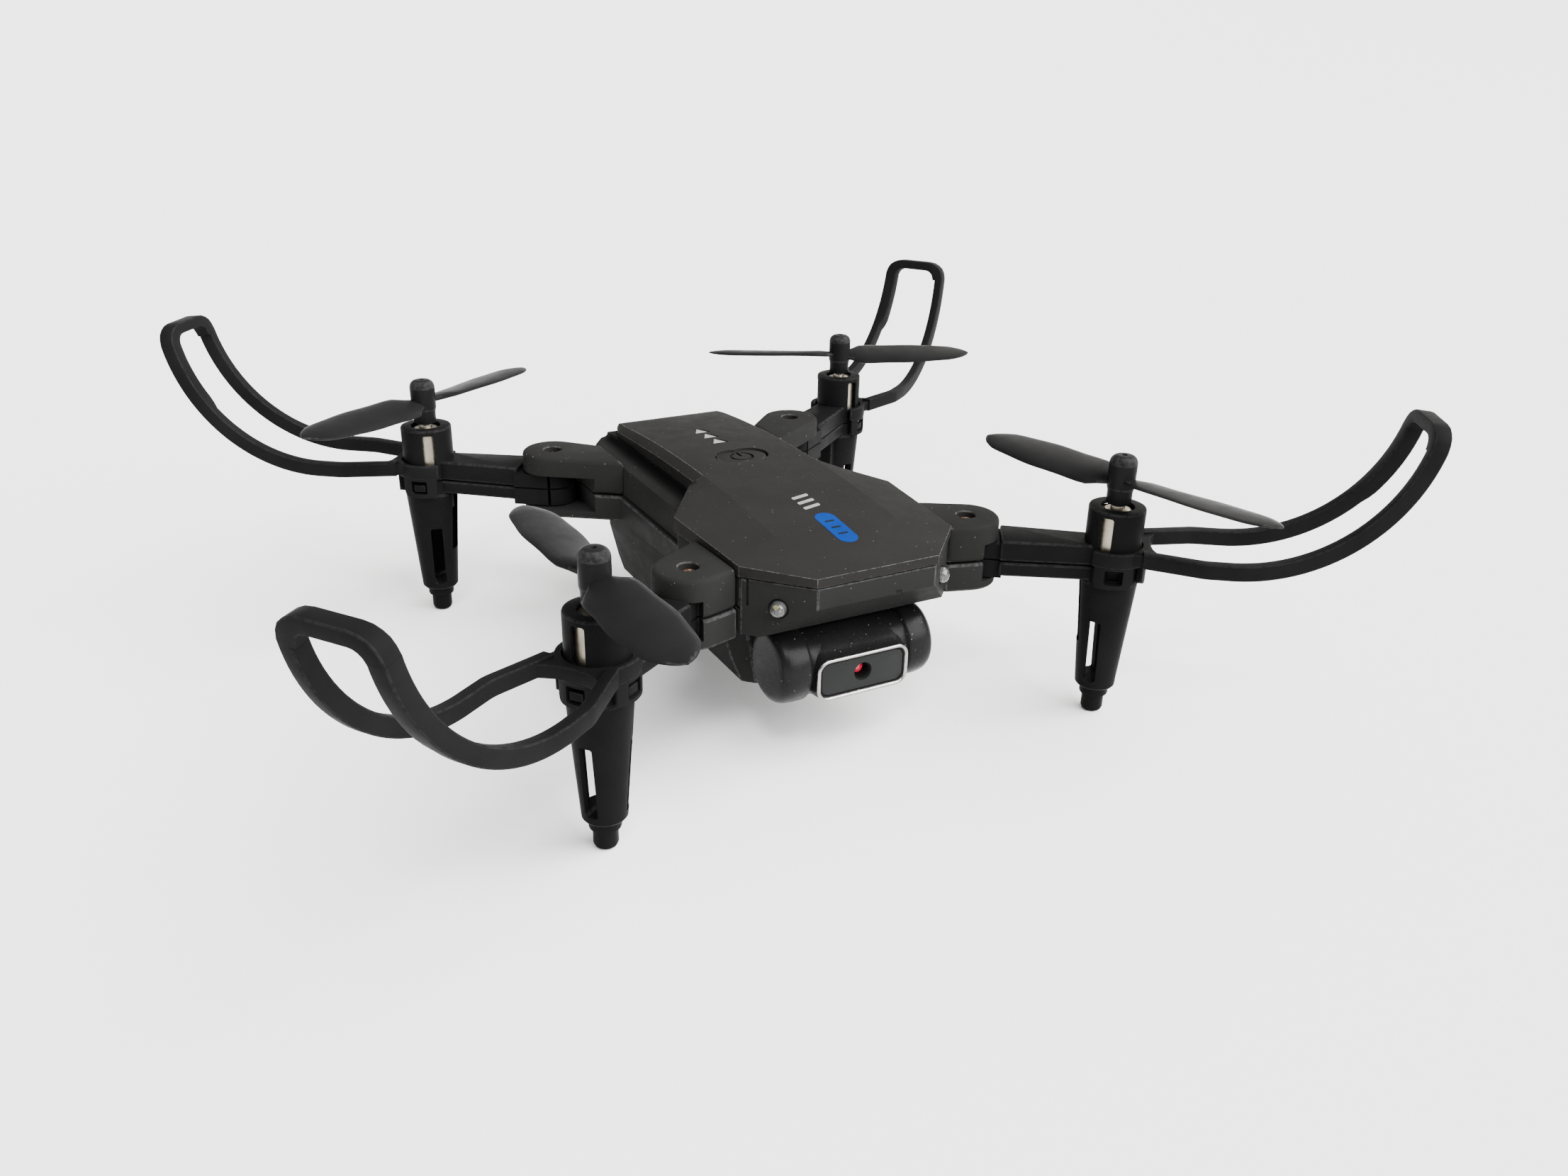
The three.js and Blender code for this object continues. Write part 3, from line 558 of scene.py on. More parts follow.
# y, crease half width, edge half width, edge height, rim height
COVER_STATIONS = [
    (COVER_FRONT, 11.3, 11.5, crown(COVER_FRONT) - 0.05, COVER_RIM),
    (-37.8, CREASE, 20.6, 37.8, COVER_RIM),
    (-15.4, CREASE, 21.9, 38.6, COVER_RIM),
    (-5.0, CREASE, 14.2, 40.0, COVER_RIM),
    (-4.9, CREASE, 13.1, 40.1, DECK_RIM),
    (10.0, CREASE, 13.1, 40.0, DECK_RIM),
    (22.0, CREASE, 13.1, 39.5, DECK_RIM),
    (33.0, CREASE, 13.1, 38.9, DECK_RIM),
    (37.0, 11.3, 11.7, 38.6, DECK_RIM),
    (COVER_REAR, 10.6, 10.9, 38.1, DECK_RIM),
]


def cover_stations(step=2.4):
    """The stations with more of them in between, so that the crown is a smooth curve."""
    out = []
    for first, last in zip(COVER_STATIONS, COVER_STATIONS[1:]):
        count = max(1, round((last[0] - first[0]) / step))
        for i in range(count):
            share = i / count
            out.append(tuple(a + (b - a) * share for a, b in zip(first, last)))
    return out + [COVER_STATIONS[-1]]


def crease_height(y):
    """The centre panel's height, which falls away at the rear."""
    if y > DECK_END:
        return DECK_END_HEIGHT - (y - DECK_END) * 0.75
    return min(crown(y), DECK_END_HEIGHT + (DECK_END - y) * 0.15)


def cover_hull(wall):
    """The cover's outside, or with a wall given, the room inside it."""
    rings = []
    stations = cover_stations()
    for i, (y, crease, side, edge, rim) in enumerate(stations):
        along = y + wall if i == 0 else y - wall if i == len(stations) - 1 else y
        low = rim - 3 if wall else rim
        top = crease_height(y) - wall
        half = [(side - wall, low), (side - wall, max(edge - wall, low + 0.02)),
                (crease - wall, max(top, low + 0.04))]
        rings.append([(x, along, z) for x, z in both_sides(half)])
    return loft(rings, 0.0 if wall else COVER_EDGE, limit=9)


BUTTON_Y, LOBE, LOBE_RADIUS = box_mm("power_button")[0].y + 3.2, 1.6, 3.2


def lobes(grow, low, high, edge=0.0):
    """Two overlapping discs side by side."""
    radius = LOBE_RADIUS + grow
    half = math.degrees(math.acos(LOBE / radius))
    outline = (arc(LOBE, BUTTON_Y, radius, half - 180, 180 - half, 36)[:-1]
               + arc(-LOBE, BUTTON_Y, radius, half, 360 - half, 36)[:-1])
    return prism(outline, low, high, edge)


ARROW_ROOTS = sorted(box_mm(f"arrow_mark_{i}")[0].y for i in (1, 2, 3))
ARROW_HALF, ARROW_LENGTH, ARROW_DEPTH = 1.6, 3.1, 0.22
ABOVE_COVER = 43


def arrow(y, grow, low, high):
    base = y - 0.7 * grow
    outline = [(-ARROW_HALF - grow, base), (ARROW_HALF + grow, base), (0, y + ARROW_LENGTH + 1.6 * grow)]
    return prism(rounded(outline, 0.15), low, high)


def arrow_floor(y):
    return crown(y + 1.5) - ARROW_DEPTH


def build_cover():
    cuts = [arrow(y, 0.12, arrow_floor(y), ABOVE_COVER) for y in ARROW_ROOTS]
    cover = cut(cover_hull(0), cover_hull(COVER_WALL))
    cover = cut(cover, lobes(0.5, 38, ABOVE_COVER), *cuts)
    publish(cover, "cover_skin", "hub", "cover_plastic", COVER, "top_cover", smooth_below=20)
    for i, y in enumerate(ARROW_ROOTS):
        mark = arrow(y, 0.05, arrow_floor(y) - 0.3, arrow_floor(y) + 0.05)
        publish(mark, f"arrow_floor_{i + 1}", "hub", "white_print", PALE, f"arrow_mark_{i + 1}")


def decal(outline, name, slot, look, *nodes, lift=0.04):
    """A thin print that follows the crown."""
    bm = bmesh.new()
    verts = [bm.verts.new((x, y, 0)) for x, y in outline]
    bm.faces.new(verts)
    bmesh.ops.triangulate(bm, faces=bm.faces)
    bmesh.ops.subdivide_edges(bm, edges=[e for e in bm.edges if e.calc_length() > 1.2], cuts=2)
    geometry = bmesh.ops.extrude_face_region(bm, geom=bm.faces[:])
    top = {v for v in geometry["geom"] if isinstance(v, bmesh.types.BMVert)}
    for vert in bm.verts:
        vert.co.z = crown(vert.co.y) + (lift if vert in top else -0.1)
    publish(to_object(bm), name, "hub", slot, look, *nodes)


def build_marks():
    low, high = box_mm("badge_plate")
    middle, dash_pitch = (low.y + high.y) / 2, 2.3
    half = (high.x - low.x) / 2
    badge = rounded_box(half, (high.y - low.y) / 2, half - 0.02, 10, 0, middle)
    decal(badge, "badge_print", "blue_print", BLUE, "badge_plate")
    for k in (-1, 0, 1):
        dash = rounded_box(0.9, 0.24, 0.23, 4, 0, middle + dash_pitch * k)
        decal(dash, f"badge_dash_{k + 2}", "pod_plastic", DARK, lift=0.07)
    low, high = box_mm("emblem_plate")
    half, bar_pitch = (high.x - low.x) / 2, 2.15
    for k in (-1, 0, 1):
        y = (low.y + high.y) / 2 + k * bar_pitch
        bar = [(-half, y - 0.85), (half, y - 0.05), (half, y + 0.85), (-half, y + 0.05)]
        replaced = ["emblem_plate"] if k == 0 else []
        decal(rounded(bar, 0.3), f"emblem_bar_{k + 2}", "white_print", PALE, *replaced)


def build_button():
    """The pad, with a broken ring and a bar sunk into it."""
    top = box_mm("power_button")[1].z
    pad = join(lobes(0, top - 1.6, top, 0.12), column(0, BUTTON_Y, 1.2, 36.6, top - 1.5))
    depth = top - 0.4
    outer, inner, break_half = 2.35, 1.8, 0.7
    icon = cut(column(0, BUTTON_Y, outer, depth, top + 1, 56),
               column(0, BUTTON_Y, inner, depth - 1, top + 2, 56),
               slab(-break_half, break_half, BUTTON_Y, BUTTON_Y + 3, depth - 1, top + 2))
    bar = slab(-0.26, 0.26, BUTTON_Y + 0.1, BUTTON_Y + 2.6, depth, top + 1)
    publish(cut(pad, icon, bar), "power_pad", "button", "button_plastic", PAD, "power_button")


build_cover()
build_marks()
build_button()

# ---- ears, upper shell and lower shell ----


def ear_outline(y, first, last):
    """Two tangents to the ear's circle from points on the hull, with the arc between them."""
    def bearing(point):
        return math.degrees(math.atan2(point[1] - y, point[0] - EAR_X))

    def spread(point):
        return math.degrees(math.acos(EAR_RADIUS / math.hypot(point[0] - EAR_X, point[1] - y)))

    start, end = bearing(first) + spread(first), bearing(last) - spread(last)
    return [first, *arc(EAR_X, y, EAR_RADIUS, start, end + (360 if end < start else 0), 28), last]


FRONT_EAR = ear_outline(-EAR_Y, (20.6, -37.3), (20.6, -22.2))
REAR_EAR = ear_outline(EAR_Y, (17.3, 19.0), (17.3, 31.5))
QUADRANTS = [(1, -1), (-1, -1), (-1, 1), (1, 1)]
HOOD_BASE = [(20.2, -37.4), (21.4, -15.6), (17.5, -9.0), (17.5, -8.0)]
TAIL_BASE = [(17.5, -10.0), (17.5, 34.8), (14.8, 38.2)]


def ear_block(sx, sy, low, high, edge):
    outline = FRONT_EAR if sy < 0 else REAR_EAR
    return prism([(sx * x, y) for x, y in outline], low, high, edge, segments=3)


def faces_outward(obj):
    """Turns the faces outward again after a mirror."""
    bm = bmesh.new()
    bm.from_mesh(obj.data)
    bmesh.ops.recalc_face_normals(bm, faces=bm.faces)
    bm.to_mesh(obj.data)
    bm.free()
    return obj


def ear_pocket(sx, sy):
    """The room in an ear where the arm's root turns, open on the outside."""
    y = sy * EAR_Y
    outer, ahead, behind = EAR_X + 16, y + sy * 14, y - sy * 17
    open_side = [(EAR_X, y + sy * POCKET_RADIUS), (EAR_X + 1.2, ahead), (outer, ahead), (outer, behind),
                 (EAR_X - POCKET_RADIUS, behind), (EAR_X - POCKET_RADIUS, y)]
    room = join(column(EAR_X, y, POCKET_RADIUS, POCKET_LOW, POCKET_HIGH, 48),
                prism(open_side, POCKET_LOW, POCKET_HIGH))
    return faces_outward(moved(room, Matrix.Diagonal((sx, 1, 1, 1))))


def ear_cuts(top):
    cuts = [ear_pocket(sx, sy) for sx, sy in QUADRANTS]
    head_seat = [(0, 34.6), (1.75, 34.6), (1.75, EAR_TOP - 0.25), (2.05, EAR_TOP + 0.1), (2.05, 39), (0, 39)]
    for sx, sy in QUADRANTS:
        x, y = sx * EAR_X, sy * EAR_Y
        cuts.append(column(x, y, SCREW_HOLE, 20, 40))
        if top:
            cuts.append(lathe(head_seat, 40, x, y))
    return cuts


# half of the rear deck's section, from the channel beside the cover down its outer side
CHANNEL = [(13.4, 37.5), (13.5, 37.0), (13.9, 36.65), (14.7, 36.45), (15.8, 36.35), (16.9, 36.2),
           (17.35, 35.95), (17.5, 35.5), (17.5, SEAM)]


def build_upper_shell():
    low = ABOVE_SEAM
    deck_section = both_sides([(x, max(z, low)) for x, z in CHANNEL])
    deck = common(prism(deck_section, -10, 39, 0.0, "xz"), prism(both_sides(TAIL_BASE), low, 40))
    shell = join(prism(both_sides(HOOD_BASE), low, COVER_RIM - GAP, 0.2), deck,
                 *[ear_block(sx, sy, low, EAR_TOP, 0.9) for sx, sy in QUADRANTS])
    under_cover = both_sides([(11.9, -47.9), (21.0, -38.1), (22.3, -15.2), (14.6, -4.6), (13.5, -4.6)])
    cover_seat = prism(under_cover, COVER_RIM - GAP, 42)
    deck_seat = slab(-13.4, 13.4, -12, 42, DECK_RIM - GAP, 42)
    room = slab(-12.2, 12.2, -40, 36.4, 29, 42)
    board_room = slab(-18.6, 18.6, -40, -17.5, 29, 42)
    shell = cut(shell, cover_seat, deck_seat, room, board_room, *ear_cuts(True))
    socket_low, socket_high = box_mm("charge_socket")
    shell = cut(shell, slab(socket_low.x - GAP, socket_high.x + GAP, 35, 40,
                            socket_low.z - GAP, socket_high.z + GAP))
    publish(shell, "upper_body", "hub", "cover_plastic", UPPER, "upper_shell")


# height, half width, front, rear, corner
BELLY_STATIONS = [(BELLY_FLOOR, 14.3, -28.6, 31.0, 2.0), (14.4, 16.0, -28.9, 30.4, 2.8),
                  (22.0, 18.2, -29.4, 29.6, 3.4), (BELOW_SEAM, 18.4, -29.8, 29.6, 3.4)]


def belly_ring(z, width, front, rear, corner):
    inset = width - corner
    half = [(inset, front), (width, front + corner), (width, rear - corner), (inset, rear)]
    return [(x, y, z) for x, y in both_sides(half)]


LUG_FROM, LUG_TO = 10.1, 11.9
PIN_HOLE = 1.3
CHAMFER = Vector((9.6, -9.2, 0)).normalized()
CHAMFER_TURN = math.atan2(-CHAMFER.x, -CHAMFER.y)
LED_POINT = Vector((15.9, -42.6, 31.3))


def led_matrix(side):
    """The place of a lamp on the nose's chamfer, with +Z out of the face."""
    normal = Vector((side * CHAMFER.x, CHAMFER.y, 0))
    spin = Vector((0, 0, 1)).rotation_difference(normal).to_matrix().to_4x4()
    return Matrix.Translation((side * LED_POINT.x, LED_POINT.y, LED_POINT.z)) @ spin


def lug(side):
    """A lug that holds one pin of the camera pod."""
    front, root, y = POD.y - 2.6, -27.5, POD.y + 1.0
    outline = [(front, POD.z - 2.4), (y, POD.z - 2.6), (root, POD.z - 2.6), (root, POD.z + 2.6),
               (y, POD.z + 2.6), (front, POD.z + 2.4)]
    a, b = sorted((side * LUG_FROM, side * LUG_TO))
    return prism(rounded(outline, 0.9), a, b, 0, "yz")


def lamp_hole(side):
    return moved(lathe([(0, -4), (1.72, -4), (1.72, -0.2), (1.9, 0.1), (1.9, 4), (0, 4)]), led_matrix(side))


def chamfer_groove(side):
    place = Matrix.Translation((side * 19.4, -38.6, 0)) @ Matrix.Rotation(side * -CHAMFER_TURN, 4, "Z")
    return moved(slab(-0.2, 0.2, -0.5, 0.5, 31, COVER_RIM), place)


def build_nose():
    outline = both_sides([(11.2, -47.2), (20.2, -37.8), (20.0, -30)])
    underside = [(-50, 34.6), (-40.2, 25.7), (-29, 25.7), (-29, 20), (-50, 20)]
    return cut(prism(outline, 25.0, COVER_RIM - GAP, 0.25), prism(underside, -30, 30, 0, "yz"),
               slab(-25, 25, -37.6, -20, BELOW_SEAM, 40))


def build_lower_shell():
    top = BELOW_SEAM
    belly = loft([belly_ring(*station) for station in BELLY_STATIONS], 0.35, 12)
    hood, tail = prism(both_sides(HOOD_BASE), 25.7, top, 0.25), prism(both_sides(TAIL_BASE), 24.6, top, 0.25)
    ears = [ear_block(sx, sy, EAR_LOW, top, 0.45) for sx, sy in QUADRANTS]
    shell = join(belly, build_nose(), hood, tail, *ears, lug(1), lug(-1))
    low, high = box_mm("battery_pack")
    battery_bay = slab(low.x - 0.4, high.x + 0.4, low.y - 1.5, 45, low.z - 0.4, SEAM + 1)
    board_room = slab(-17, 17, -36.5, -22.5, 28, SEAM + 1)
    nose_room = prism(both_sides([(10.4, -45.5), (18.2, -37.6), (18, -36)]), 31, 37)
    pin_holes = turned_x([(0, -14), (PIN_HOLE, -14), (PIN_HOLE, 14), (0, 14)], POD.y, POD.z, 32)
    face_slot = slab(3.4, 4.6, -48, -46.8, 30, 32.7, 0.1)
    shell = cut(shell, battery_bay, board_room, nose_room, *ear_cuts(False), pin_holes, lamp_hole(1),
                lamp_hole(-1), chamfer_groove(1), chamfer_groove(-1), face_slot)
    publish(shell, "lower_body", "hub", "cover_plastic", LOWER, "lower_shell")


def build_leds():
    """Two clear 3 mm lamps: dome, black cup and core, with a yellow chip and a copper bead inside."""
    radius, shoulder, rise = 1.35, 0.1, 1.2
    dome = [(0, -1.6), (1.3, -1.6), (radius, -1.3), (radius, shoulder)]
    for degrees in range(15, 90, 15):
        turn = math.radians(degrees)
        dome.append((radius * math.cos(turn), shoulder + rise * math.sin(turn)))
    dome.append((0, shoulder + rise))
    cup = [(0, -1.9), (1.6, -1.9), (1.6, -0.35), (1.42, -0.35), (1.42, -1.75), (0, -1.75)]
    core = [(0, -1.2), (0.85, -1.2), (1.05, 0.15), (0.9, 0.3), (0.45, -0.1), (0, -0.1)]
    room = [(r * 1.04, z * 1.03) for r, z in core]
    for name, side in (("right", 1), ("left", -1)):
        place = led_matrix(side)
        publish(moved(cut(lathe(dome), lathe(room)), place), f"nose_lamp_{name}", "hub", "led_clear", DOME,
                f"led_{name}", smooth_below=50)
        publish(moved(lathe(cup), place), f"lamp_cup_{name}", "hub", "pod_plastic", DARK, smooth_below=40)
        publish(moved(lathe(core), place), f"lamp_core_{name}", "hub", "pod_plastic", DARK, smooth_below=40)
        chip = prism(rounded_box(0.3, 0.36, 0.08), -0.08, 0.12, 0.04)
        chip_place = place @ Matrix.Translation((0, 0.42, 0))
        publish(moved(chip, chip_place), f"lamp_chip_{name}", "hub", "led_clear", PHOSPHOR)
        bead = lathe([(0, -0.08), (0.16, -0.06), (0.2, 0.05), (0.14, 0.16), (0, 0.2)], 20)
        bead_place = place @ Matrix.Translation((0.1, -0.32, 0))
        publish(moved(bead, bead_place), f"lamp_bead_{name}", "hub", "screw_brass", COPPER)


build_upper_shell()
build_lower_shell()
build_leds()

# ---- camera pod ----

BEZEL_LOW, BEZEL_HIGH = box_mm("camera_bezel")
BEZEL_MIDDLE = (BEZEL_LOW.z + BEZEL_HIGH.z) / 2
BEZEL_HALF = (BEZEL_HIGH.z - BEZEL_LOW.z) / 2
BEZEL_WIDTH = BEZEL_HIGH.x
BEZEL_FRONT = BEZEL_LOW.y
LENS_Z = 17.0

# behind the bezel's face: half width, low, high, corner radius
SNOUT_STATIONS = [(0.35, 8.86, 13.03, 20.67, 2.2), (1.0, 8.95, 12.95, 20.85, 2.3),
                  (2.0, 9.05, 12.7, 21.6, 2.6), (3.2, 9.12, 12.4, 22.6, 3.0), (4.6, 9.2, 12.0, 23.5, 3.6),
                  (6.2, 9.25, 11.7, 24.0, 4.2), (POD.y + 1.0 - BEZEL_FRONT, 9.3, 11.6, 24.1, 4.4)]

# inwards across the ring: shrink, corner radius, depth behind the face
BEZEL_ROWS = [(0, 2.2, 0.34), (0.08, 2.12, 0.08), (0.26, 1.96, 0), (0.36, 1.9, 0), (0.54, 1.72, 0.08),
              (0.62, 1.65, 0.34)]


def bezel_outline(shrink, radius):
    return rounded_box(BEZEL_WIDTH - shrink, BEZEL_HALF - shrink, radius, 8, 0, BEZEL_MIDDLE)


def pod_ring(behind, half_width, low, high, radius):
    outline = rounded_box(half_width, (high - low) / 2, radius, 8, 0, (low + high) / 2)
    return [(x, BEZEL_FRONT + behind, z) for x, z in outline]


def lug_room(side):
    """Room round the pin and behind it, for a lug through the whole tilt."""
    a, b = sorted((side * (LUG_FROM - GAP), side * (LUG_TO + GAP)))
    sweep = [(POD.y, POD.z), *arc(POD.y, POD.z, 9, -105, 56, 18)]
    return [turned_x([(0, a), (4.1, a), (4.1, b), (0, b)], POD.y, POD.z, 48), prism(sweep, a, b, 0, "yz")]


def build_pod():
    reach, radius = 15.0, 6.7
    cap = [(0, reach), (4.8, reach - 0.02), (5.5, reach - 0.18), (6.05, reach - 0.55), (6.4, reach - 1.1),
           (6.6, reach - 1.8), (radius, reach - 2.8), (radius, 10.0), (radius - 0.1, 9.7),
           (radius - 0.4, 9.5), (radius - 0.6, 9.2)]
    profile = [(r, -x) for r, x in cap] + [(r, x) for r, x in reversed(cap)]
    snout = loft([pod_ring(*station) for station in SNOUT_STATIONS])
    pod = join(turned_x(profile, POD.y, POD.z, 96), snout)
    window_room = prism(bezel_outline(0.85, 1.5), -46, -40.8, 0, "xz")
    pin_hole = turned_x([(0, -13.4), (PIN_HOLE, -13.4), (PIN_HOLE, 13.4), (0, 13.4)], POD.y, POD.z, 32)
    pod = cut(pod, window_room, pin_hole, *lug_room(1), *lug_room(-1))
    publish(pod, "camera_shell", "camera", "pod_plastic", POD_SKIN, "camera_barrel", smooth_below=38)


def build_bezel():
    bm = bmesh.new()
    rings = [[bm.verts.new((x, BEZEL_FRONT + behind, z)) for x, z in bezel_outline(shrink, radius)]
             for shrink, radius, behind in BEZEL_ROWS]
    for first, second in zip(rings, rings[1:] + rings[:1]):
        for i in range(len(first)):
            j = (i + 1) % len(first)
            bm.faces.new((first[i], first[j], second[j], second[i]))
    publish(to_object(bm), "lens_frame", "camera", "bright_trim", TRIM, "camera_bezel", smooth_below=60)


def along_y(profile):
    """(radius, distance forwards) points turned about the lens's axis."""
    place = Matrix.Translation((0, 0, LENS_Z)) @ Matrix.Rotation(math.pi / 2, 4, "X")
    return moved(lathe(profile), place)


def build_window():
    plate = prism(bezel_outline(0.95, 1.45), BEZEL_FRONT + 0.4, BEZEL_FRONT + 1.1, 0.06, "xz")
    hole = along_y([(0, 40), (1.55, 40), (1.55, 43.6), (1.72, 43.95), (1.72, 46), (0, 46)])
    publish(cut(plate, hole), "window_plate", "camera", "window_plastic", WINDOW, "camera_window")
    tube = cut(along_y([(0, 40.9), (1.52, 40.9), (1.52, 43.3), (0, 43.3)]),
               along_y([(0, 41.6), (1.15, 41.6), (1.42, 43.4), (1.42, 44), (0, 44)]))
    publish(tube, "lens_barrel", "camera", "pod_plastic", DARK, "camera_module")
    element = along_y([(0, 41.65), (1.1, 41.65), (1.1, 42.0), (0.9, 42.2), (0.5, 42.35), (0, 42.4)])
    publish(element, "lens_element", "camera", "lens_glass", LENS, "camera_lens", smooth_below=50)


build_pod()
build_bezel()
build_window()

# ---- arms, drawn along +X from the fold pivot ----

# name, side, front or rear, the angle at which the propeller rests, and which way it spins
CORNERS = [("front_right", 1, -1, -77.2, -1), ("front_left", -1, -1, -89.0, 1),
           ("rear_left", -1, 1, 31.8, -1), ("rear_right", 1, 1, -23.6, 1)]
SLOT_ANGLES = (0, 115, -115)
SLOT_HALF = 1.15
TONGUE_RADIUS, TONGUE_HALF, TONGUE_WIDE = 4.4, 3.3, 4.6


def arm_matrix(sx, sy):
    turn = math.atan2(sy * math.sin(ARM_ANGLE), sx * math.cos(ARM_ANGLE))
    return Matrix.Translation((sx * EAR_X, sy * EAR_Y, 0)) @ Matrix.Rotation(turn, 4, "Z")


def about_motor(obj, angle):
    """Places something drawn about the motor axis, turned to that angle."""
    return moved(obj, Matrix.Translation((ARM_LENGTH, 0, 0)) @ Matrix.Rotation(math.radians(angle), 4, "Z"))


def beam(low, high):
    """The tapered bar from the ear to the motor housing."""
    outline = [(6.4, -4.2), (ARM_LENGTH, -3.1), (ARM_LENGTH, 3.1), (6.4, 4.2)]
    return prism(outline, low, high, 0.4, segments=3)


def tongue(low, high, inner):
    """The root that turns in the ear's pocket, wider on the side that folds towards the hull."""
    from_y, to_y = min(-TONGUE_HALF, TONGUE_WIDE * inner), max(TONGUE_HALF, TONGUE_WIDE * inner)
    return join(column(0, 0, TONGUE_RADIUS, low, high, 56), slab(0, 7.0, from_y, to_y, low, high))


def slots(low, high, reach):
    """Cutters for the upright slots round the housing or the leg."""
    made = []
    for angle in SLOT_ANGLES:
        outline = rounded([(-SLOT_HALF, low), (SLOT_HALF, low), (SLOT_HALF, high), (-SLOT_HALF, high)], 0.5)
        made.append(about_motor(prism(outline, 0, reach, 0, "yz"), angle))
    return made


def arm_upper(inner):
    low = ABOVE_SEAM
    rim = [(0, low), (HOUSING_RADIUS, low), (HOUSING_RADIUS, HOUSING_TOP - 0.4), (4.9, HOUSING_TOP - 0.12),
           (4.6, HOUSING_TOP), (0, HOUSING_TOP)]
    bore = [(0, 25), (HOUSING_BORE, 25), (HOUSING_BORE, 40.15), (2.85, 40.15), (2.85, 40.5),
            (3.0, HOUSING_TOP), (3.0, 42), (0, 42)]
    arm = join(beam(low, 34.1), tongue(low, 33.1, inner), lathe(rim, 72, ARM_LENGTH))
    return cut(arm, lathe(bore, 64, ARM_LENGTH), column(0, 0, SCREW_HOLE, 20, 40), *slots(33.1, 39.7, 7))


def leg_profile():
    top = BELOW_SEAM
    foot = [(0, 0), (1.1, 0), (1.75, 0.35), (2.0, 0.9), (2.0, 3.3), (2.15, 3.6), (2.5, 3.7), (2.6, 3.95),
            (2.6, 5.1), (2.75, 5.4), (3.3, 5.5), (3.62, 5.9)]
    return foot + [(5.16, 26.6), (5.16, 26.9), (5.0, 27.2), (HOUSING_RADIUS, top), (0, top)]


def arm_leg(inner):
    top = BELOW_SEAM
    fin_side = ((6.2, 27.8), (6.2, 15.3), (5.3, 14.4), (3.0, 14.4), (3.0, 27.8))
    fin = [(ARM_LENGTH - r, z) for r, z in fin_side]
    catches = [about_motor(slab(4.7, 5.95, -1.15, 1.15, 28.3, 29.7, 0.15), angle) for angle in (0, 90, -90)]
    leg = join(beam(27.4, top), tongue(26.7, top, inner), lathe(leg_profile(), 72, ARM_LENGTH),
               prism(fin, -1.5, 1.5, 0.3, "xz"), *catches)
    leg_room = lathe([(0, 7.6), (2.7, 7.6), (3.7, 20.6), (3.7, 24), (0, 24)], 48, ARM_LENGTH)
    return cut(leg, column(ARM_LENGTH, 0, HOUSING_BORE, 23.3, 35, 64), leg_room,
               column(0, 0, SCREW_HOLE, 20, 40), *slots(7.0, 19.7, 5.8))


def motor_can():
    """The can, its end bell and the shaft."""
    profile = [(0, 23.6), (3.8, 23.6), (CAN_RADIUS, 23.9), (CAN_RADIUS, 39.2), (3.9, 39.6), (3.5, 39.8),
               (2.3, 39.9), (2.2, 40.2), (1.3, 40.3), (1.2, 40.8), (0.5, 40.8), (0.5, 47.0), (0, 47.0)]
    return lathe(profile, 48, ARM_LENGTH)


# propeller guard: a strap, straight at first and then bent upwards; its points are given by the length
# along it, the distance across it and the height over its middle surface
GUARD_Z, GUARD_ROOT, GUARD_BEND, BEND_RADIUS = 32.9, 4.6, 19.6, 29.3
BEND_LENGTH = BEND_RADIUS * math.radians(84)
STRAIGHT = GUARD_BEND - GUARD_ROOT
KNEE_ACROSS, TIP_ACROSS, RAIL_HALF, STRAP_HALF = 8.2, 6.7, 1.0, 1.4
CLIP_RADIUS = 5.3


def on_guard(along, across, over):
    if along <= STRAIGHT:
        return (ARM_LENGTH + GUARD_ROOT + along, across, GUARD_Z + over)
    angle = (along - STRAIGHT) / BEND_RADIUS
    radius = BEND_RADIUS - over
    return (ARM_LENGTH + GUARD_BEND + radius * math.sin(angle), across,
            GUARD_Z + BEND_RADIUS - radius * math.cos(angle))


def guard_edges(side, steps=30):
    """(outer, inner) points of one rail, from the ring to the middle of the tip bar."""
    pairs = [((0, 6.4), (0, 4.4)), ((3.0, 7.2), (3.0, 5.2)), ((9.7, 9.05), (9.7, 7.05)),
             ((10.8, 9.2), (10.8, 7.2)), ((STRAIGHT, 9.2), (STRAIGHT, 7.2))]
    for i in range(1, steps):
        share = i / steps
        along = STRAIGHT + BEND_LENGTH * share * 0.96
        middle = KNEE_ACROSS + (TIP_ACROSS - KNEE_ACROSS) * share
        wider = 0.75 * min(1.0, max(0.0, (share - 0.6) / 0.05)) if side > 0 else 0.0
        pairs.append(((along, middle + RAIL_HALF), (along, middle - RAIL_HALF - wider)))
    end = STRAIGHT + BEND_LENGTH
    pairs += [((end - 3.2, 7.75), (end - 4.0, 5.25)), ((end - 1.9, 7.4), (end - 3.3, 5.0)),
              ((end - 0.9, 6.8), (end - 2.6, 4.7)), ((end - 0.2, 5.9), (end - 2.1, 4.2)),
              ((end + 0.3, 4.8), (end - 1.8, 3.6)), ((end + 0.5, 3.4), (end - 1.7, 2.9))]
    return [tuple((along, side * across) for along, across in pair) for pair in pairs]


def guard_loop():
    rings = []
    for outer, inner in guard_edges(1) + guard_edges(-1)[::-1]:
        outer, inner = Vector(outer), Vector(inner)
        middle, half = (outer + inner) / 2, (outer - inner).length / 2
        toward = (outer - inner).normalized()
        ring = []
        for across, over in rounded_box(half, STRAP_HALF, 0.25, 3):
            place = middle + toward * across
            ring.append(on_guard(place.x, place.y, over))
        rings.append(ring)
    return loft(rings)


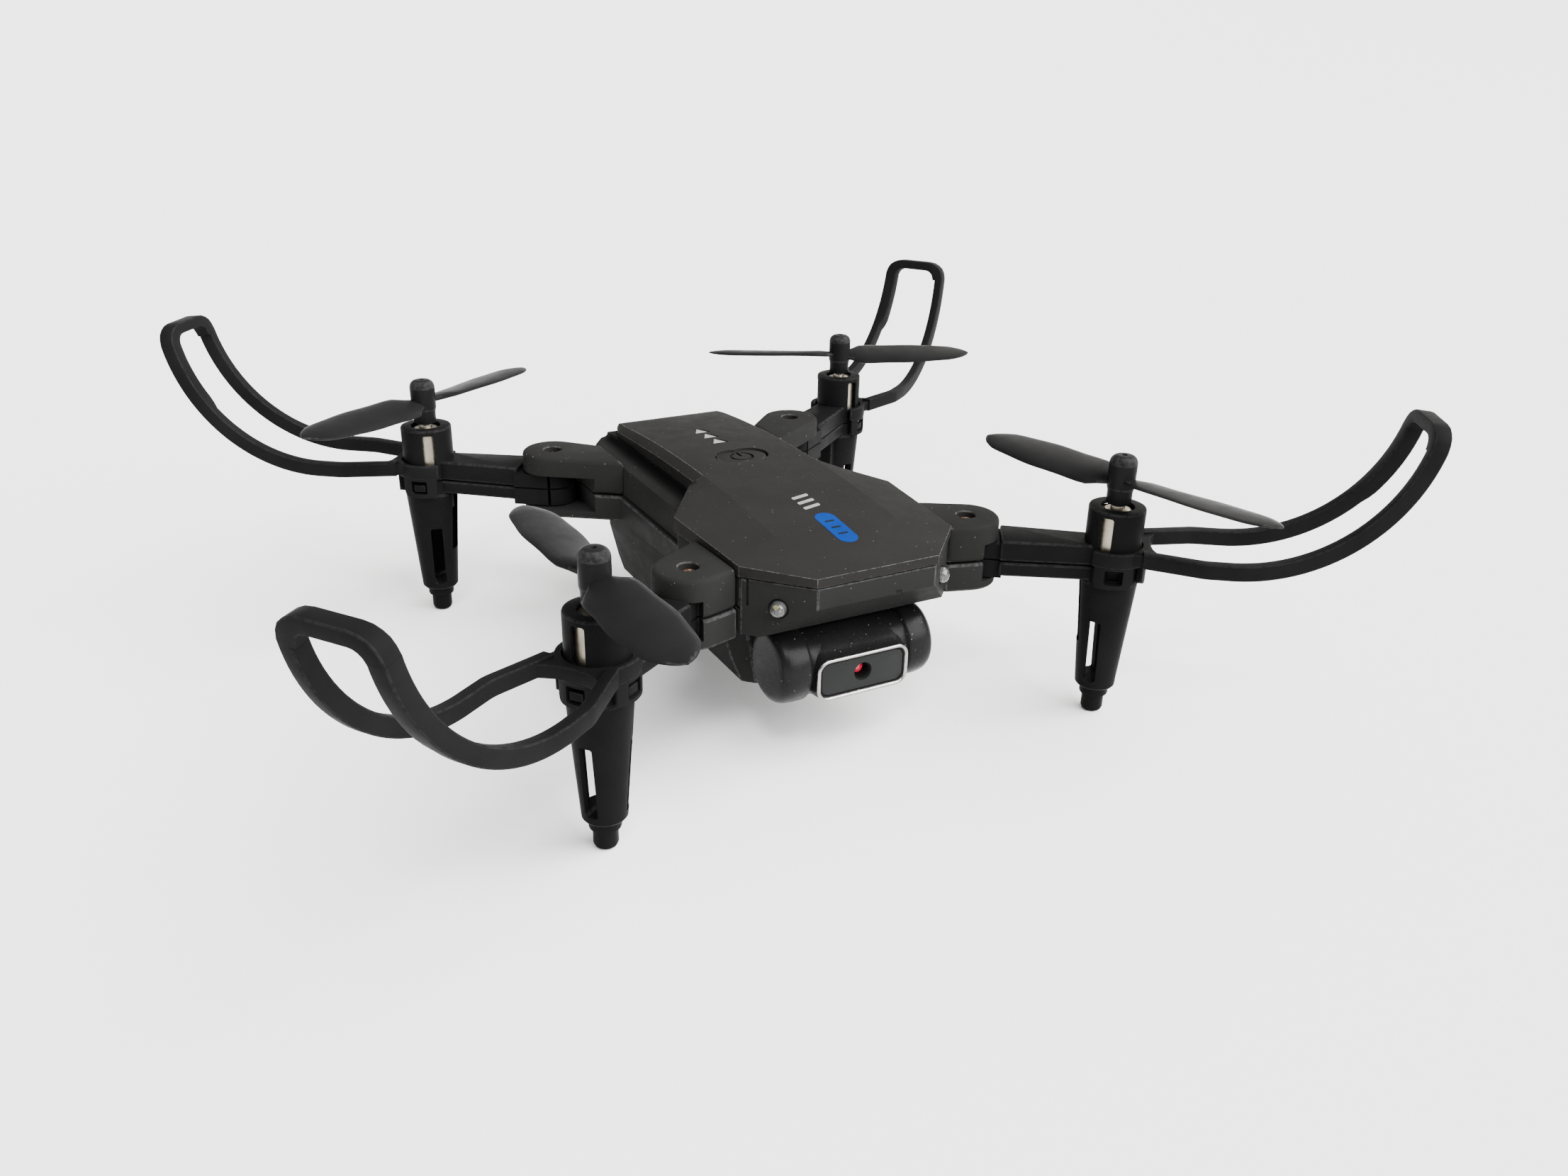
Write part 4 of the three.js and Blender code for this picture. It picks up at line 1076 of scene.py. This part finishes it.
def guard_clip(angle):
    """A skirt that hangs from the ring, with a window for a catch of the leg."""
    skirt = prism(arc(0, 0, 6.3, -34, 34, 20) + arc(0, 0, 5.2, 34, -34, 20), 27.2, 31.4)
    side_view = rounded([(-3.4, 27.2), (3.4, 27.2), (3.4, 33.0), (-3.4, 33.0)], 1.2)
    window = rounded([(-1.6, 27.9), (1.6, 27.9), (1.6, 30.6), (-1.6, 30.6)], 0.3)
    skirt = common(skirt, prism(side_view, 2, 8, 0, "yz"))
    return about_motor(cut(skirt, prism(window, 2, 8, 0, "yz")), angle)


def prop_guard():
    outline = arc(ARM_LENGTH, 0, 6.4, -128, 128, 60) + arc(ARM_LENGTH, 0, CLIP_RADIUS, 128, -128, 60)
    ring = prism(outline, 31.0, 33.8, 0.25)
    web = [(3.0, -5.6), (8.4, -6.7), (7.4, -4.4), (6.7, -2.5), (6.5, 0), (6.7, 2.5), (7.4, 4.4), (8.4, 6.7),
           (3.0, 5.6)]
    web = prism([(ARM_LENGTH + x, y) for x, y in web], 31.6, 33.8, 0.15)
    guard = join(guard_loop(), ring, web, *[guard_clip(angle) for angle in (90, -90, 0)])
    return cut(guard, column(ARM_LENGTH, 0, CLIP_RADIUS, 20, 40, 96))


def section(count=18):
    """An aerofoil section: chordwise and over from -1 to 1, thick towards the leading edge (+1)."""
    points = []
    for i in range(count):
        turn = 2 * math.pi * i / count
        across, over = math.cos(turn), math.copysign(abs(math.sin(turn)) ** 0.75, math.sin(turn))
        points.append((across, over * (1.0 + 0.2 * across) * (0.85 if over < 0 else 1.0)))
    return points


# radius and share of the widest chord, from the hub to the rounded tip
BLADE_WIDTHS = [(0.8, 0.33), (2.4, 0.36), (3.4, 0.6), (4.6, 0.83), (6.5, 0.91), (11.0, 0.93), (17.0, 1.0),
                (22.0, 0.91), (26.0, 0.8), (28.0, 0.6), (29.3, 0.4), (30.1, 0.2), (30.5, 0.03), (30.6, 0.01)]
BLADE_ROOT = 1.5


def blade_width(radius):
    """A smooth curve through the table."""
    spot = max(i for i in range(1, len(BLADE_WIDTHS) - 2) if BLADE_WIDTHS[i][0] <= radius + 1e-6 or i == 1)
    (r0, w0), (r1, w1), (r2, w2), (r3, w3) = BLADE_WIDTHS[spot - 1:spot + 3]
    t, span = max(0.0, (radius - r1) / (r2 - r1)), r2 - r1
    slope1, slope2 = (w2 - w0) / (r2 - r0) * span, (w3 - w1) / (r3 - r1) * span
    return ((2 * t ** 3 - 3 * t ** 2 + 1) * w1 + (t ** 3 - 2 * t ** 2 + t) * slope1
            + (3 * t ** 2 - 2 * t ** 3) * w2 + (t ** 3 - t ** 2) * slope2)


def blade(spin, side, steps=34):
    """One blade, thicker and steeper towards the hub."""
    rings = []
    length = PROP_RADIUS - BLADE_ROOT
    for i in range(steps + 1):
        radius = BLADE_ROOT + length * math.sin(i / steps * math.pi / 2) ** 0.9
        inward = 1 - (radius - BLADE_ROOT) / length
        width = max(0.03, blade_width(radius))
        thick = 0.75 + 0.35 * inward + 0.7 * inward ** 6
        tilt = math.radians(7 + 7.5 * inward ** 1.4) * spin
        ring = []
        for across, over in section():
            chordwise, lift = across * PROP_CHORD * width / 2, over * thick / 2 * min(1.0, 0.3 + width)
            camber = 0.3 * (1 - across * across) * width
            y = chordwise * math.cos(tilt) - (lift + camber) * math.sin(tilt)
            z = chordwise * math.sin(tilt) + (lift + camber) * math.cos(tilt)
            ring.append((side * radius, side * y, PROP_HEIGHT + PROP_RISE * radius + z))
        rings.append(ring)
    return loft(rings)


def propeller(spin):
    """Both blades on a hub, bored from below for the shaft, with a dimple in its top."""
    profile = [(0, 47.4), (0.85, 47.4), (0.85, HUB_LOW), (2.1, HUB_LOW), (2.2, HUB_LOW + 0.15), (2.2, 43.4),
               (2.3, 43.9), (2.42, 44.3), (2.45, 48.4), (2.4, 48.9), (2.25, 49.3), (2.0, 49.65),
               (1.65, 49.88), (1.25, HUB_HIGH), (0.5, HUB_HIGH), (0.42, HUB_HIGH - 0.08), (0.42, 49.3),
               (0, 49.3)]
    return join(lathe(profile, 48), blade(spin, 1), blade(spin, -1))


def copy_of(obj, matrix):
    twin = bpy.data.objects.new(obj.name, obj.data.copy())
    bpy.context.scene.collection.objects.link(twin)
    twin.data.transform(matrix)
    return twin


def pivot_screw(x, y):
    """A screw with a domed head and a cross in it."""
    profile = [(0, 25.2), (0.95, 25.2), (0.95, 34.9), (1.45, 34.9), (1.5, 35.7), (1.3, 36.15), (0.8, 36.32),
               (0, 36.35)]
    long_half, short_half, floor, above = 0.95, 0.2, 35.8, 37
    return cut(lathe(profile, 40, x, y),
               slab(x - long_half, x + long_half, y - short_half, y + short_half, floor, above),
               slab(x - short_half, x + short_half, y - long_half, y + long_half, floor, above))


def build_arms():
    uppers, legs = ({inner: build(inner) for inner in (1, -1)} for build in (arm_upper, arm_leg))
    can, guard = motor_can(), prop_guard()
    rotors = {spin: propeller(spin) for spin in (1, -1)}
    for name, sx, sy, angle, spin in CORNERS:
        matrix, inner = arm_matrix(sx, sy), -sx * sy
        for shape, piece, slot, look, node in (
                (uppers[inner], "arm_top", "arm_plastic", ARM, "arm_upper"),
                (legs[inner], "arm_base", "arm_plastic", ARM, "arm_leg"),
                (can, "motor_can", "motor_metal", CAN, "motor"),
                (guard, "guard_loop", "guard_plastic", STRAP, "guard")):
            publish(copy_of(shape, matrix), f"{piece}_{name}", f"arm_{name}", slot, look, f"{node}_{name}")
        centre = Matrix.Translation((sx * abs(MOTOR.x), sy * abs(MOTOR.y), 0))
        place = centre @ Matrix.Rotation(math.radians(angle), 4, "Z")
        publish(copy_of(rotors[spin], place), f"rotor_{name}", f"rotor_{name}", "propeller_plastic", BLADE,
                f"propeller_{name}", smooth_below=45)
        publish(pivot_screw(sx * EAR_X, sy * EAR_Y), f"ear_screw_{name}", "hub", "screw_brass", COPPER,
                f"pivot_screw_{name}")
    for spare in (*uppers.values(), *legs.values(), can, guard, *rotors.values()):
        bpy.data.objects.remove(spare)


build_arms()

# ---- the nodes whose CAD shape stays ----

KEPT = {"flight_board": BOARD, "button_switch": DARK, "charge_socket": TRIM, "battery_pack": CELL,
        "camera_pin": COPPER}
for node, look in KEPT.items():
    mesh = frame["nodes"][node].data
    mesh.materials.clear()
    mesh.materials.append(look)
